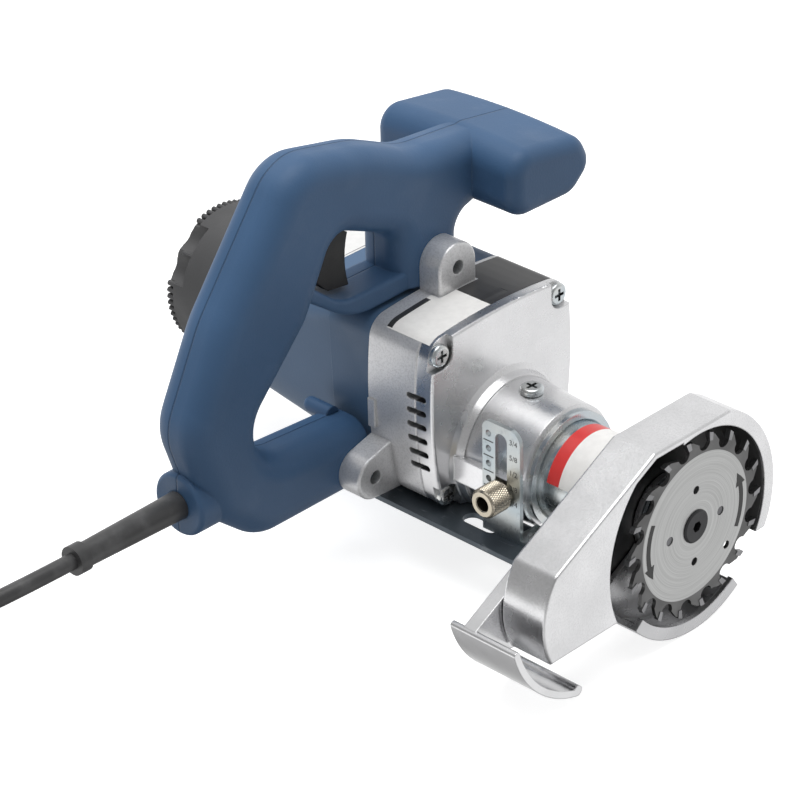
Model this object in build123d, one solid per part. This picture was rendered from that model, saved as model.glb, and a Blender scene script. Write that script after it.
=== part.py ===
"""Toe-kick saw: a hand held saw that cuts flooring under cabinet toe spaces.

Millimetres, X forward along the spindle, Y to the user's left, Z up. The origin is on the underside of
the base plate, straight below the spindle axis, at the joint plane of the gear case and the nose cover.
Outlines across the tool are drawn in spindle coordinates: y to the user's left and z up, both from the
spindle axis.
"""
import math
import os

from build123d import *

# Blade and cutting depth
BLADE_RADIUS = 42.9
BLADE_THICKNESS = 1.8
BLADE_TEETH = 18
TIP_OVERHANG = 0.3
MAX_CUT_DEPTH = 19.1
AXIS_Z = BLADE_RADIUS - MAX_CUT_DEPTH
PLATE_THICKNESS = 2.5
PLATE_CLEARANCE = 0.8

# Lengths along the spindle, from the rear of the gear case to the blade
CASE_FRONT_X = 0.0
CASE_LENGTH = 28.0
COVER_RIM = 10.0
BOSS_LENGTH = 37.0
NECK_LENGTH = 49.0
HEAD_DEPTH = 23.0
BLADE_RECESS = 1.0
CASE_REAR_X = CASE_FRONT_X - CASE_LENGTH
COVER_FACE_X = CASE_FRONT_X + COVER_RIM
BOSS_END_X = COVER_FACE_X + BOSS_LENGTH
HEAD_REAR_X = BOSS_END_X + NECK_LENGTH
HEAD_FRONT_X = HEAD_REAR_X + HEAD_DEPTH
BLADE_FACE_X = HEAD_FRONT_X - BLADE_RECESS
BLADE_BACK_X = BLADE_FACE_X - BLADE_THICKNESS

# Clearances
FIT = 0.05
SLIP = 0.1
GAP = 0.3

# Gear case and nose cover
CASE_HALF_WIDTH = 44.5
CASE_TOP = 65.0
CASE_BOTTOM = PLATE_THICKNESS + PLATE_CLEARANCE - AXIS_Z
CASE_SHOULDER = 42.0
CASE_CORNER = 10.0
CASE_WALL = 4.0
CASE_BACK_WALL = 8.0
JOINT_BEVEL = 0.5
SOFT_EDGE = 1.2
EAR_THICKNESS = 12.0
EAR_RADIUS = 11.5
EAR_HOLE = 3.3
TOP_EAR = (0.0, 75.0)
LOW_EAR = (-53.5, -6.5)
VENT_COUNT = 6
VENT_PITCH = 6.9
VENT_HEIGHT = 2.8
VENT_LENGTH = 11.5
VENT_TILT = -4.0
VENT_TOP = 35.6
CLIP_LENGTH = 4.2
CLIP_BOTTOM = 11.6
CLIP_TOP = 25.4
COVER_WALL = 4.0
LOW_SCREW_Z = CASE_BOTTOM + 6.5
COVER_SCREWS = ((-37.2, 55.6), (37.2, 55.6), (-34.2, LOW_SCREW_Z), (34.2, LOW_SCREW_Z))
COVER_SCREW_RADIUS = 2.0
COVER_SCREW_HEAD = 5.2
COVER_POST_WALL = 3.0
COVER_SCREW_LENGTH = 18.0
PAN_HEIGHT = 2.8
NOTCH_RADIUS = 6.0
NOTCH_DEPTH = 3.6
BOSS_ROOT = 30.6
BOSS_TIP = 28.6
BOSS_FLARE = 4.4
BOSS_FLARE_LENGTH = 5.2
BOSS_STEP = 0.8
NECK_SCREW_BACK = 20.5
NECK_SCREW_HEAD = 5.3
NECK_SCREW_HEIGHT = 3.0
PAD_HALF_HEIGHT = 6.0

# Neck
SLEEVE_RADIUS = 22.5
SLEEVE_WALL = 4.5
SLEEVE_SEAT = 24.0
NECK_RING_RADIUS = 26.5
NECK_RING_WIDTH = 3.0

# Cast head
HEAD_WINDOW = BLADE_RADIUS + 2.0
HEAD_RING = HEAD_WINDOW + 6.6
HEAD_TOP = HEAD_WINDOW + 2.5
HEAD_WALL = 3.0
HEAD_SHOULDER = 28.0
GUARD_INNER = BLADE_RADIUS + 2.3
GUARD_OUTER = GUARD_INNER + 5.8
HEAD_SWEEP = GUARD_OUTER + 4.5
TAIL_LENGTH = 95.5
TAIL_CORNER = 5.0
HEAD_BOSS = 14.0
HEAD_BOSS_LENGTH = 10.0
HEAD_SCREW_RADIUS = 1.6

# Spindle, blade screw and flange
SPINDLE_RADIUS = 6.0
SPINDLE_REAR = 4.0
GEAR_SEAT = 5.0
PILOT_RADIUS = 5.0
FLANGE_RADIUS = 20.0
FLANGE_THICKNESS = 3.4
BLADE_SCREW_HEAD = 7.6
BLADE_SCREW_HEIGHT = 1.0
BLADE_SCREW_SHANK = 3.0
BLADE_SCREW_LENGTH = 16.0
DRIVE_PIN_CIRCLE = 16.5
DRIVE_PIN_RADIUS = 2.0
FRONT_BEARING = 11.0
FRONT_BEARING_WIDTH = 9.0
REAR_BEARING = 8.0
REAR_BEARING_WIDTH = 5.0

# Guards, angles in degrees counter-clockwise from +y seen from the front
GUARD_WALL = 3.0
GUARD_RIM = 2.6
GUARD_FROM = -139.0
GUARD_TO = -56.0
GUARD_TAIL_FROM = -152.0
GUARD_TAIL_SETBACK = 12.5
GUARD_WEB = 2.6
GUARD_HUB = 18.0
LEVER_PLATE = 6.5
LEVER_DISC = 31.0
SHOE_WIDTH = 35.0
SHOE_THICKNESS = 3.2
SHOE_LIP = 2.5
LEVER_COLLAR_WIDTH = 3.5

# Gears, motor above the spindle
MODULE = 1.0
PINION_TEETH = 14
GEAR_TEETH = 28
MOTOR_Z = MODULE * (PINION_TEETH + GEAR_TEETH) / 2
GEAR_WIDTH = 10.0
PINION_WIDTH = 14.0
BACKLASH = 0.3
PRESSURE_ANGLE = 20.0
ADDENDUM = 0.9 * MODULE
GEAR_ROOM = 0.6
GEAR_TIP = MODULE * GEAR_TEETH / 2 + ADDENDUM

# Motor
SHAFT_RADIUS = 5.0
SHAFT_JOURNAL = 4.0
SHAFT_NOSE = 3.4
MOTOR_BEARING = 11.0
MOTOR_BEARING_WIDTH = 7.0
FLANGE_LENGTH = 25.0
HOUSING_LENGTH = 112.0
HOUSING_HALF_WIDTH = 43.0
HOUSING_TOP = 63.0
HOUSING_LOW_CORNER = 26.0
FLANGE_STEP = 0.8
HOUSING_REAR_RADIUS = 36.0
HOUSING_BORE = 32.0
FAN_CHAMBER = 37.0
CAP_LENGTH = 29.0
CAP_RADIUS = 34.5
CAP_WALL = 3.2
CAP_TEETH = 64
CAP_TOOTH = 1.3
CAP_SCOOPS = (129, 155, 25, 51)
SCOOP_RADIUS = 7.8
CORE_RADIUS = 20.0
CORE_LENGTH = 45.0
AIR_GAP = 0.6
COMMUTATOR_RADIUS = 13.0
COMMUTATOR_LENGTH = 18.0
COMMUTATOR_BARS = 20
FAN_RADIUS = 33.0
FAN_BLADES = 12
BRUSH_SIDE = 7.0
HOLDER_WALL = 2.0

# Handle shells, parted across the spindle
HANDLE_THICKNESS = 29.0
HANDLE_FRONT_X = CASE_REAR_X
FRONT_SHELL_DEPTH = 17.0
PARTING_X = HANDLE_FRONT_X - FRONT_SHELL_DEPTH
HANDLE_EDGE = 11.0
TBAR_LENGTH = 84.0
TBAR_END_ROUND = 7.0
TBAR_CROWN = 2.4
LEDGE_LIP = 2.0
LUG_RADIUS = 3.5
TRIGGER_WIDTH = 15.0
TRIGGER_TRAVEL = 6.0
TRIGGER_ANGLE = 142.0
SWITCH_WIDTH = 18.0

# Base plate and depth adjuster
PLATE_LENGTH = 98.0
PLATE_WIDTH = 92.0
PLATE_FRONT_X = CASE_REAR_X + PLATE_LENGTH
BRACKET_FACE_Y = -33.0
BRACKET_THICKNESS = 2.0
BRACKET_WIDTH = 21.5
BRACKET_TOP = 33.0
BRACKET_FOOT = 15.0
SLOT_WIDTH = 6.6
SLOT_TOP = 29.0
STUD_RADIUS = 2.6
KNOB_RADIUS = 7.0
KNOB_LENGTH = 12.0
KNOB_RIDGES = 30
KNOB_X = BOSS_END_X - 6.5
SCREW_RADIUS = 2.0

# Cord
CORD_RADIUS = 3.6
BOSS_CORD_RADIUS = 14.5
BOSS_CORD_END = -142.0
CORD_Z = 8.0
RELIEF_LENGTH = 59.0
RELIEF_ROOT = 6.3
RELIEF_TIP = 5.3
RELIEF_COLLAR = 6.5
RELIEF_SOCKET = 18.0
COLLAR_WIDTH = 6.0
FLOOR_Z = -GUARD_OUTER
TIE_THICKNESS = 1.4
TIE_WIDTH = 12.0
COIL_SPACE = 0.7
COIL_PITCH = 2 * CORD_RADIUS + COIL_SPACE
COIL_INNER = 27.0
COIL_TURNS = 3.5
PLUG_RADIUS = 13.0
PLUG_LENGTH = 38.0

os.makedirs("parts", exist_ok=True)


def section(x):
    """Plane across the spindle at station x, with local x along Y and local y along Z."""
    return Plane(origin=(x, 0, AXIS_Z), x_dir=(0, 1, 0), z_dir=(1, 0, 0))


def slab(sketch, x0, x1):
    """Prism of a cross outline from station x0 to station x1."""
    return extrude(section(x0) * sketch, amount=x1 - x0)


def rod(x0, x1, radius, y=0.0, z=0.0):
    """Round bar along X."""
    return slab(Pos(y, z) * Circle(radius), x0, x1)


def ring(x0, x1, outer, inner, y=0.0, z=0.0):
    """Tube along X."""
    return slab(Pos(y, z) * (Circle(outer) - Circle(inner)), x0, x1)


def block(x0, x1, y0, y1, z0, z1):
    """Box between two corners, z from the spindle axis."""
    middle = ((x0 + x1) / 2, (y0 + y1) / 2, (z0 + z1) / 2 + AXIS_Z)
    return Pos(*middle) * Box(x1 - x0, y1 - y0, z1 - z0)


def turned(profile, y=0.0, z=0.0):
    """Turned piece about an X axis, from (station, radius) corners."""
    plane = Plane(origin=(0, y, AXIS_Z + z), x_dir=(1, 0, 0), z_dir=(0, -1, 0))
    face = plane * make_face(Polyline(*profile, close=True))
    return revolve(face, axis=Axis((0, y, AXIS_Z + z), (1, 0, 0)))


def rounded(*corners):
    """Closed outline through (y, z, radius) corners, each rounded by a tangent arc."""
    points = [Vector(y, z) for y, z, _ in corners]
    edges = []
    ends = []
    for index, (_, _, radius) in enumerate(corners):
        here = points[index]
        back = (points[index - 1] - here).normalized()
        ahead = (points[(index + 1) % len(points)] - here).normalized()
        if radius == 0:
            ends.append((here, here))
            continue
        half = math.radians(back.get_angle(ahead)) / 2
        run = radius / math.tan(half)
        centre = here + (back + ahead).normalized() * (radius / math.sin(half))
        middle = centre + (here - centre).normalized() * radius
        ends.append((here + back * run, here + ahead * run))
        edges.append(ThreePointArc(ends[-1][0], middle, ends[-1][1]))
    for index, (start, _) in enumerate(ends):
        edges.append(Line(ends[index - 1][1], start))
    return make_face(edges)


def polar(radius, degrees):
    """Point of a cross outline from its radius and angle."""
    return (radius * math.cos(math.radians(degrees)), radius * math.sin(math.radians(degrees)))


def sector(inner, outer, start, end):
    """Part of a flat ring between two angles."""
    middle = (start + end) / 2
    return make_face([
        ThreePointArc(polar(outer, start), polar(outer, middle), polar(outer, end)),
        Line(polar(outer, end), polar(inner, end)),
        ThreePointArc(polar(inner, end), polar(inner, middle), polar(inner, start)),
        Line(polar(inner, start), polar(outer, start)),
    ])


def biarc(start, start_dir, end, end_dir):
    """Two tangent arcs that leave start along start_dir and reach end along end_dir."""
    across = end - start
    both = start_dir + end_dir
    a = 2 * (start_dir.dot(end_dir) - 1)
    b = -2 * across.dot(both)
    c = across.dot(across)
    reach = c / -b if abs(a) < 1e-9 else (-b - math.sqrt(b * b - 4 * a * c)) / (2 * a)
    first = start + start_dir * reach
    last = end - end_dir * reach
    joint = (first + last) * 0.5
    return [
        TangentArc(start, joint, tangent=start_dir),
        TangentArc(joint, end, tangent=(last - first).normalized()),
    ]


def wound(place, turns_from, turns_to, step=0.25):
    """Path of tangent arcs along place(turns), a point for each count of turns."""
    count = round((turns_to - turns_from) / step)
    spots = [turns_from + (turns_to - turns_from) * index / count for index in range(count + 1)]
    nudge = 1e-4
    points = [place(spot) for spot in spots]
    dirs = [(place(spot + nudge) - place(spot - nudge)).normalized() for spot in spots]
    edges = []
    for index in range(count):
        edges += biarc(points[index], dirs[index], points[index + 1], dirs[index + 1])
    return edges


def tube(edges, radius):
    """Round wire of one radius along a path."""
    path = Wire(edges)
    start = Plane(origin=path @ 0, z_dir=path % 0)
    return sweep(start * Circle(radius), path=path)


def own_gap(edges, turns, radius, samples=50):
    """Least clear space between a wound wire and its own neighbouring turns."""
    path = Wire(edges)
    count = int(turns * samples)
    points = [path @ (index / count) for index in range(count + 1)]
    least = math.inf
    for index, point in enumerate(points):
        for other in points[index + samples // 2:]:
            least = min(least, (point - other).length)
    return least - 2 * radius


def cross_recess(size, depth):
    """Cutter for a cross recess in a screw head, pointing down from its top."""
    arm = size / 4
    bar = Box(size, arm, depth, align=(Align.CENTER, Align.CENTER, Align.MAX))
    return bar + Rot(0, 0, 90) * bar


def pan_screw(head, height, shank, length):
    """Cross head screw, its head seated at the origin and its shank down."""
    dome = Cylinder(head, height, align=(Align.CENTER, Align.CENTER, Align.MIN))
    dome = fillet(dome.edges().sort_by(Axis.Z)[-1], height * 0.55)
    dome -= Pos(0, 0, height) * cross_recess(head * 1.1, height * 0.5)
    return dome + Cylinder(shank, length, align=(Align.CENTER, Align.CENTER, Align.MAX))


def facing(x, y, z, direction):
    """Place whose local z points along direction, at a point given from the spindle axis."""
    return Plane(origin=(x, y, z + AXIS_Z), z_dir=direction).location


def save(name, *solids):
    """Write one node, a group when it holds several solids."""
    shape = solids[0] if len(solids) == 1 else Compound(children=list(solids))
    export_step(shape, f"parts/{name}.step")


# Gear case: barrel sided casting with two ears, open to the front

def case_outline(inset=0.0):
    """Outline of the case, with slightly bowed sides and top."""
    shoulder = CASE_SHOULDER
    low = CASE_SHOULDER - 3.5
    face = make_face([
        ThreePointArc((-shoulder, CASE_TOP - 3), (0, CASE_TOP), (shoulder, CASE_TOP - 3)),
        ThreePointArc((shoulder, CASE_TOP - 3), (CASE_HALF_WIDTH, 24), (low, CASE_BOTTOM)),
        Line((low, CASE_BOTTOM), (-low, CASE_BOTTOM)),
        ThreePointArc((-low, CASE_BOTTOM), (-CASE_HALF_WIDTH, 24), (-shoulder, CASE_TOP - 3)),
    ])
    face = fillet(face.vertices(), CASE_CORNER)
    return offset(face, -inset) if inset else face


def screw_posts(radius):
    """Round posts of the four cover screws, as one outline."""
    return Sketch() + [Pos(y, z) * Circle(radius) for y, z in COVER_SCREWS]


def vent_cuts():
    """Six slots through the left wall, across the joint of case and cover."""
    cuts = []
    for index in range(VENT_COUNT):
        z = VENT_TOP - index * VENT_PITCH
        slot = SlotOverall(VENT_LENGTH, VENT_HEIGHT, rotation=VENT_TILT)
        middle = (CASE_FRONT_X + 0.5, -CASE_HALF_WIDTH - 1, AXIS_Z + z)
        plane = Plane(origin=middle, x_dir=(1, 0, 0), z_dir=(0, 1, 0))
        cuts.append(extrude(plane * slot, amount=2 * CASE_WALL))
    return cuts


CASE_WALL_X = CASE_REAR_X + CASE_BACK_WALL
ear_front_x = CASE_REAR_X + EAR_THICKNESS
top_ear = Pos(*TOP_EAR) * Circle(EAR_RADIUS)
top_ear += Pos(0, (TOP_EAR[1] + 50) / 2) * Rectangle(2 * EAR_RADIUS, TOP_EAR[1] - 50)
low_ear = make_hull([*(Pos(*LOW_EAR) * Circle(EAR_RADIUS - 1)).edges(), Line((-36, 9), (-36, -18))])
gear_case = slab(case_outline(), CASE_REAR_X, CASE_FRONT_X)
gear_case = chamfer(gear_case.edges().group_by(Axis.X)[-1], JOINT_BEVEL)
for ear_outline in (top_ear, low_ear):
    ear = slab(ear_outline, CASE_REAR_X, ear_front_x)
    gear_case += fillet(ear.edges().group_by(Axis.X)[-1], SOFT_EDGE)
clip_y = -CASE_HALF_WIDTH - 1
gear_case += block(CASE_REAR_X + GAP, CASE_REAR_X + CLIP_LENGTH, clip_y, clip_y + 4, CLIP_BOTTOM, CLIP_TOP)
hollow = case_outline(CASE_WALL) - screw_posts(COVER_SCREW_RADIUS + COVER_POST_WALL)
gear_case -= slab(hollow + Circle(GEAR_TIP + GEAR_ROOM), CASE_WALL_X, CASE_FRONT_X)
gear_case -= [rod(CASE_REAR_X, ear_front_x, EAR_HOLE, *spot) for spot in (TOP_EAR, LOW_EAR)]
gear_case -= slab(screw_posts(COVER_SCREW_RADIUS + SLIP), CASE_FRONT_X - COVER_SCREW_LENGTH, CASE_FRONT_X)
gear_case -= rod(CASE_REAR_X, CASE_REAR_X + MOTOR_BEARING_WIDTH, MOTOR_BEARING + FIT, 0, MOTOR_Z)
gear_case -= rod(CASE_REAR_X, CASE_WALL_X, MOTOR_BEARING - 2, 0, MOTOR_Z)
gear_case -= rod(CASE_WALL_X - REAR_BEARING_WIDTH, CASE_WALL_X, REAR_BEARING + FIT)
gear_case -= vent_cuts()
save("gear_case", gear_case)

# Nose cover: lid of the case with a tapered boss for the neck

cover_inside_x = COVER_FACE_X - COVER_WALL
sleeve_end_x = BOSS_END_X - SLEEVE_SEAT
flare_end_x = COVER_FACE_X + BOSS_FLARE_LENGTH
boss_shape = turned([
    (cover_inside_x, 0),
    (cover_inside_x, BOSS_ROOT + BOSS_FLARE),
    (COVER_FACE_X, BOSS_ROOT + BOSS_FLARE),
    (COVER_FACE_X + BOSS_FLARE_LENGTH * 0.3, BOSS_ROOT + BOSS_FLARE * 0.45),
    (flare_end_x, BOSS_ROOT + BOSS_STEP),
    (flare_end_x, BOSS_ROOT),
    (BOSS_END_X - 1, BOSS_TIP),
    (BOSS_END_X, BOSS_TIP - 1),
    (BOSS_END_X, 0),
])
nose_cover = slab(case_outline(), CASE_FRONT_X, COVER_FACE_X)
nose_cover = chamfer(nose_cover.edges().group_by(Axis.X)[0], JOINT_BEVEL)
nose_cover = fillet(nose_cover.edges().group_by(Axis.X)[-1], SOFT_EDGE)
nose_cover += boss_shape
pad_inside_y = -SLEEVE_RADIUS + 1
nose_cover += block(COVER_FACE_X, BOSS_END_X, BRACKET_FACE_Y, pad_inside_y, -PAD_HALF_HEIGHT, PAD_HALF_HEIGHT)
under_cover = (-CASE_HALF_WIDTH, CASE_HALF_WIDTH, CASE_BOTTOM - BOSS_ROOT, CASE_BOTTOM)
nose_cover -= block(CASE_FRONT_X, BOSS_END_X, *under_cover)
cover_hollow = case_outline(CASE_WALL) - screw_posts(COVER_SCREW_RADIUS + COVER_POST_WALL)
nose_cover -= slab(cover_hollow, CASE_FRONT_X, cover_inside_x)
nose_cover -= rod(CASE_FRONT_X, BOSS_END_X, SLEEVE_RADIUS - SLEEVE_WALL - 3)
nose_cover -= rod(sleeve_end_x, BOSS_END_X, SLEEVE_RADIUS + FIT)
notch_floor_x = COVER_FACE_X - NOTCH_DEPTH
for screw_y, screw_z in COVER_SCREWS:
    side = math.copysign(1, screw_y)
    rise = math.copysign(1, screw_z)
    away = CASE_CORNER * 1.5
    corner = Rectangle(2 * away, 2 * away)
    notch = Pos(screw_y, screw_z) * Circle(NOTCH_RADIUS)
    notch += Pos(screw_y + side * away, screw_z + rise * (away - NOTCH_RADIUS)) * corner
    notch += Pos(screw_y + side * (away - NOTCH_RADIUS), screw_z + rise * away) * corner
    nose_cover -= slab(notch, notch_floor_x, COVER_FACE_X + 1)
nose_cover -= slab(screw_posts(COVER_SCREW_RADIUS + SLIP), CASE_FRONT_X, COVER_FACE_X)
nose_cover -= vent_cuts()
stud_hole = Plane(origin=(KNOB_X, BRACKET_FACE_Y, AXIS_Z), x_dir=(1, 0, 0), z_dir=(0, 1, 0))
nose_cover -= extrude(stud_hole * Circle(STUD_RADIUS + FIT), amount=9)
neck_screw_x = BOSS_END_X - NECK_SCREW_BACK
neck_screw_z = BOSS_TIP + (BOSS_ROOT - BOSS_TIP) * NECK_SCREW_BACK / BOSS_LENGTH
neck_screw_place = facing(neck_screw_x, 0, neck_screw_z, (0, 0, 1))
nose_cover -= neck_screw_place * Cylinder(SCREW_RADIUS + SLIP, 30)
screw_seat = Cylinder(NECK_SCREW_HEAD + GAP, 10, align=(Align.CENTER, Align.CENTER, Align.MIN))
nose_cover -= neck_screw_place * screw_seat
save("nose_cover", nose_cover)

cover_screws = []
for screw_y, screw_z in COVER_SCREWS:
    screw = pan_screw(COVER_SCREW_HEAD, PAN_HEIGHT, COVER_SCREW_RADIUS, COVER_SCREW_LENGTH)
    cover_screws.append(facing(notch_floor_x, screw_y, screw_z, (1, 0, 0)) * screw)
save("nose_cover_screws", *cover_screws)
neck_screw = pan_screw(NECK_SCREW_HEAD, NECK_SCREW_HEIGHT, SCREW_RADIUS, neck_screw_z - SLEEVE_RADIUS - GAP)
save("neck_screw", neck_screw_place * neck_screw)

# Neck ring against the boss

neck_ring = ring(BOSS_END_X, BOSS_END_X + NECK_RING_WIDTH, NECK_RING_RADIUS, SLEEVE_RADIUS + FIT)
neck_ring = chamfer(neck_ring.edges().filter_by(GeomType.CIRCLE).sort_by(Axis.X)[-1], 0.8)
save("neck_ring", neck_ring)

# Cast head: ring over the blade, flat top, and a tail that is open below

sole = -AXIS_Z
ring_end = polar(HEAD_RING, -18)
ring_top = (math.sqrt(HEAD_RING**2 - HEAD_TOP**2), HEAD_TOP)
shoulder = (-HEAD_SHOULDER, HEAD_TOP)
tail_high = (7 - TAIL_LENGTH, 16.5)
tail_low = (4.5 - TAIL_LENGTH, sole)
ring_foot = (HEAD_RING * 0.88, sole)
head_shape = make_face([
    ThreePointArc(ring_end, polar(HEAD_RING, 25), ring_top),
    Line(ring_top, shoulder),
    Line(shoulder, tail_high),
    ThreePointArc(tail_high, (-TAIL_LENGTH, -2), tail_low),
    Line(tail_low, ring_foot),
    Line(ring_foot, ring_end),
])
head_shape = fillet(head_shape.vertices().sort_by_distance((*tail_high, 0))[0], TAIL_CORNER)
inner_x = HEAD_REAR_X + HEAD_WALL
plate_x = HEAD_FRONT_X - HEAD_WALL
thin = 2.4
tail_room = offset(head_shape, -HEAD_WALL)
tail_middle = 60.0
tail_room += Pos(-tail_middle, sole) * Rectangle(2 * (TAIL_LENGTH - tail_middle) - 13, 8)
tail_room -= Pos(TAIL_LENGTH, 0) * Rectangle(2 * TAIL_LENGTH, 2 * TAIL_LENGTH)
left_sweep = Circle(HEAD_SWEEP) & offset(head_shape, -thin)
left_sweep -= Pos(TAIL_LENGTH - 10, 0) * Rectangle(2 * TAIL_LENGTH, 2 * TAIL_LENGTH)
below_top = sole + 3
below = Pos(0, below_top - HEAD_SWEEP / 2) * Rectangle(2 * HEAD_SWEEP - 4, HEAD_SWEEP)
head_casting = slab(head_shape, HEAD_REAR_X, HEAD_FRONT_X)
head_rims = head_casting.edges().group_by(Axis.X)
head_casting = fillet(head_rims[0] + head_rims[-1], SOFT_EDGE)
head_casting -= slab(Circle(HEAD_WINDOW), inner_x, HEAD_FRONT_X)
head_casting -= slab(left_sweep + (Circle(HEAD_SWEEP) & below), inner_x, HEAD_FRONT_X)
head_casting -= slab(tail_room, inner_x, plate_x)
head_casting += rod(inner_x, inner_x + HEAD_BOSS_LENGTH, HEAD_BOSS)
head_casting -= rod(HEAD_REAR_X, inner_x + HEAD_BOSS_LENGTH, SPINDLE_RADIUS + 1)
seat_x = inner_x + HEAD_BOSS_LENGTH - FRONT_BEARING_WIDTH
head_casting -= rod(seat_x, inner_x + HEAD_BOSS_LENGTH, FRONT_BEARING + FIT)
head_screw_circle = SLEEVE_RADIUS - SLEEVE_WALL / 2
head_screws = []
for index in range(4):
    spot = polar(head_screw_circle, 45 + 90 * index)
    sink = turned([
        (HEAD_REAR_X - 8, 0),
        (HEAD_REAR_X - 8, HEAD_SCREW_RADIUS),
        (inner_x - 1.6, HEAD_SCREW_RADIUS),
        (inner_x - 0.3, HEAD_SCREW_RADIUS * 2),
        (inner_x - 0.3, 0),
    ], *spot)
    head_screws.append(sink)
head_casting -= head_screws
save("head_casting", head_casting)
save("head_screws", *head_screws)

# Neck: plated sleeve held in the boss, its end takes the head screws
neck_sleeve = ring(sleeve_end_x, HEAD_REAR_X, SLEEVE_RADIUS, SLEEVE_RADIUS - SLEEVE_WALL) - head_screws
save("neck_sleeve", neck_sleeve)

# Bearings
save("front_spindle_bearing", ring(seat_x, seat_x + FRONT_BEARING_WIDTH, FRONT_BEARING, SPINDLE_RADIUS + FIT))
rear_seat_x = CASE_WALL_X - REAR_BEARING_WIDTH
save("rear_spindle_bearing", ring(rear_seat_x, CASE_WALL_X, REAR_BEARING, SPINDLE_REAR + FIT))

# Spindle, turned, with a threaded nose
flange_x = BLADE_BACK_X - FLANGE_THICKNESS
gear_x = CASE_WALL_X + 5
spindle = turned([
    (rear_seat_x + GAP, 0),
    (rear_seat_x + GAP, SPINDLE_REAR),
    (CASE_WALL_X, SPINDLE_REAR),
    (CASE_WALL_X, GEAR_SEAT),
    (gear_x + GEAR_WIDTH, GEAR_SEAT),
    (gear_x + GEAR_WIDTH, SPINDLE_RADIUS),
    (flange_x, SPINDLE_RADIUS),
    (flange_x, PILOT_RADIUS),
    (BLADE_FACE_X - SLIP, PILOT_RADIUS),
    (BLADE_FACE_X - SLIP, 0),
])
spindle -= rod(BLADE_FACE_X - BLADE_SCREW_LENGTH - 1, BLADE_FACE_X, BLADE_SCREW_SHANK + FIT)
save("spindle", spindle)


# Spur gears with involute flanks

def spur(teeth, x0, x1, bore, y=0.0, z=0.0, turn=0.0):
    """Spur gear along X; turn rotates the first tooth from +y, in degrees."""
    pitch = MODULE * teeth / 2
    base = pitch * math.cos(math.radians(PRESSURE_ANGLE))
    tip = pitch + ADDENDUM
    root = pitch - 1.25 * MODULE
    half = (math.pi * MODULE / 2 - BACKLASH) / (2 * pitch)

    def flank(radius):
        """Half angle of a tooth at one radius."""
        press = math.acos(min(1.0, base / radius))
        start = math.radians(PRESSURE_ANGLE)
        return half + (math.tan(start) - start) - (math.tan(press) - press)

    radii = [root, max(base, root + 0.2), pitch, tip]
    points = []
    for tooth in range(teeth):
        centre = math.radians(turn) + 2 * math.pi * tooth / teeth
        left = [(radius, centre - flank(radius)) for radius in radii]
        right = [(radius, centre + flank(radius)) for radius in reversed(radii)]
        points += [(r * math.cos(a) + y, r * math.sin(a) + z) for r, a in left + right]
    face = make_face(Polyline(*points, close=True)) - Pos(y, z) * Circle(bore)
    return slab(face, x0, x1)


# The gear has a tooth and the pinion a gap on the line between their centres
gear_turn = 90.0
pinion_turn = -90.0 + 180.0 / PINION_TEETH
save("drive_gear", spur(GEAR_TEETH, gear_x, gear_x + GEAR_WIDTH, GEAR_SEAT + FIT, turn=gear_turn))
pinion_x = gear_x + (GEAR_WIDTH - PINION_WIDTH) / 2
pinion_end_x = pinion_x + PINION_WIDTH
motor_pinion = spur(PINION_TEETH, pinion_x, pinion_end_x, SHAFT_NOSE + FIT, 0, MOTOR_Z, pinion_turn)
save("motor_pinion", motor_pinion)

# Blade: plate with hooked gullets, carbide tips in seats, and pin holes

pitch_angle = 360 / BLADE_TEETH
tip_depth = 4.2
tip_profile = [(0, 0), (-tip_depth, -1.6), (-tip_depth, -4.6), (-0.5, -3.6)]
blade_edges = []
tip_faces = []
for tooth in range(BLADE_TEETH):
    lead = tooth * pitch_angle
    point = polar(BLADE_RADIUS - 0.5, lead - 0.6)
    heel = polar(BLADE_RADIUS - 5.0, lead - 2.4)
    floor = polar(BLADE_RADIUS - 8.0, lead + 2.6)
    rise = polar(BLADE_RADIUS - 4.6, lead + 8.0)
    back = polar(BLADE_RADIUS - 1.6, lead + 14.0)
    following = polar(BLADE_RADIUS - 0.5, lead + pitch_angle - 0.6)
    blade_edges += [Line(point, heel), ThreePointArc(heel, floor, rise)]
    blade_edges += [Line(rise, back), Line(back, following)]
    corners = [polar(BLADE_RADIUS + dr, lead + da) for dr, da in tip_profile]
    tip_faces.append(make_face(Polyline(*corners, close=True)))
blade_face = make_face(blade_edges) - Circle(PILOT_RADIUS + FIT)
blade_face -= [Pos(y, 0) * Circle(DRIVE_PIN_RADIUS + SLIP) for y in (-DRIVE_PIN_CIRCLE, DRIVE_PIN_CIRCLE)]
blade_face -= [Pos(0, z) * Circle(1.9) for z in (-DRIVE_PIN_CIRCLE - 1, DRIVE_PIN_CIRCLE + 1)]
blade_face -= Pos(*polar(28.5, -42)) * Circle(1.9)
blade = slab(blade_face, BLADE_BACK_X, BLADE_FACE_X)
tips = [slab(face, BLADE_BACK_X - TIP_OVERHANG, BLADE_FACE_X + TIP_OVERHANG) for face in tip_faces]
save("saw_blade", blade - tips)
save("carbide_tips", *tips)
flange = ring(flange_x, BLADE_BACK_X, FLANGE_RADIUS, PILOT_RADIUS + FIT)
pin_spots = [(-DRIVE_PIN_CIRCLE, 0), (DRIVE_PIN_CIRCLE, 0)]
flange -= [rod(flange_x, BLADE_BACK_X, DRIVE_PIN_RADIUS + FIT, *spot) for spot in pin_spots]
save("blade_flange", flange)
save("drive_pins", *[rod(flange_x, BLADE_FACE_X - 0.4, DRIVE_PIN_RADIUS, *spot) for spot in pin_spots])
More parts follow.
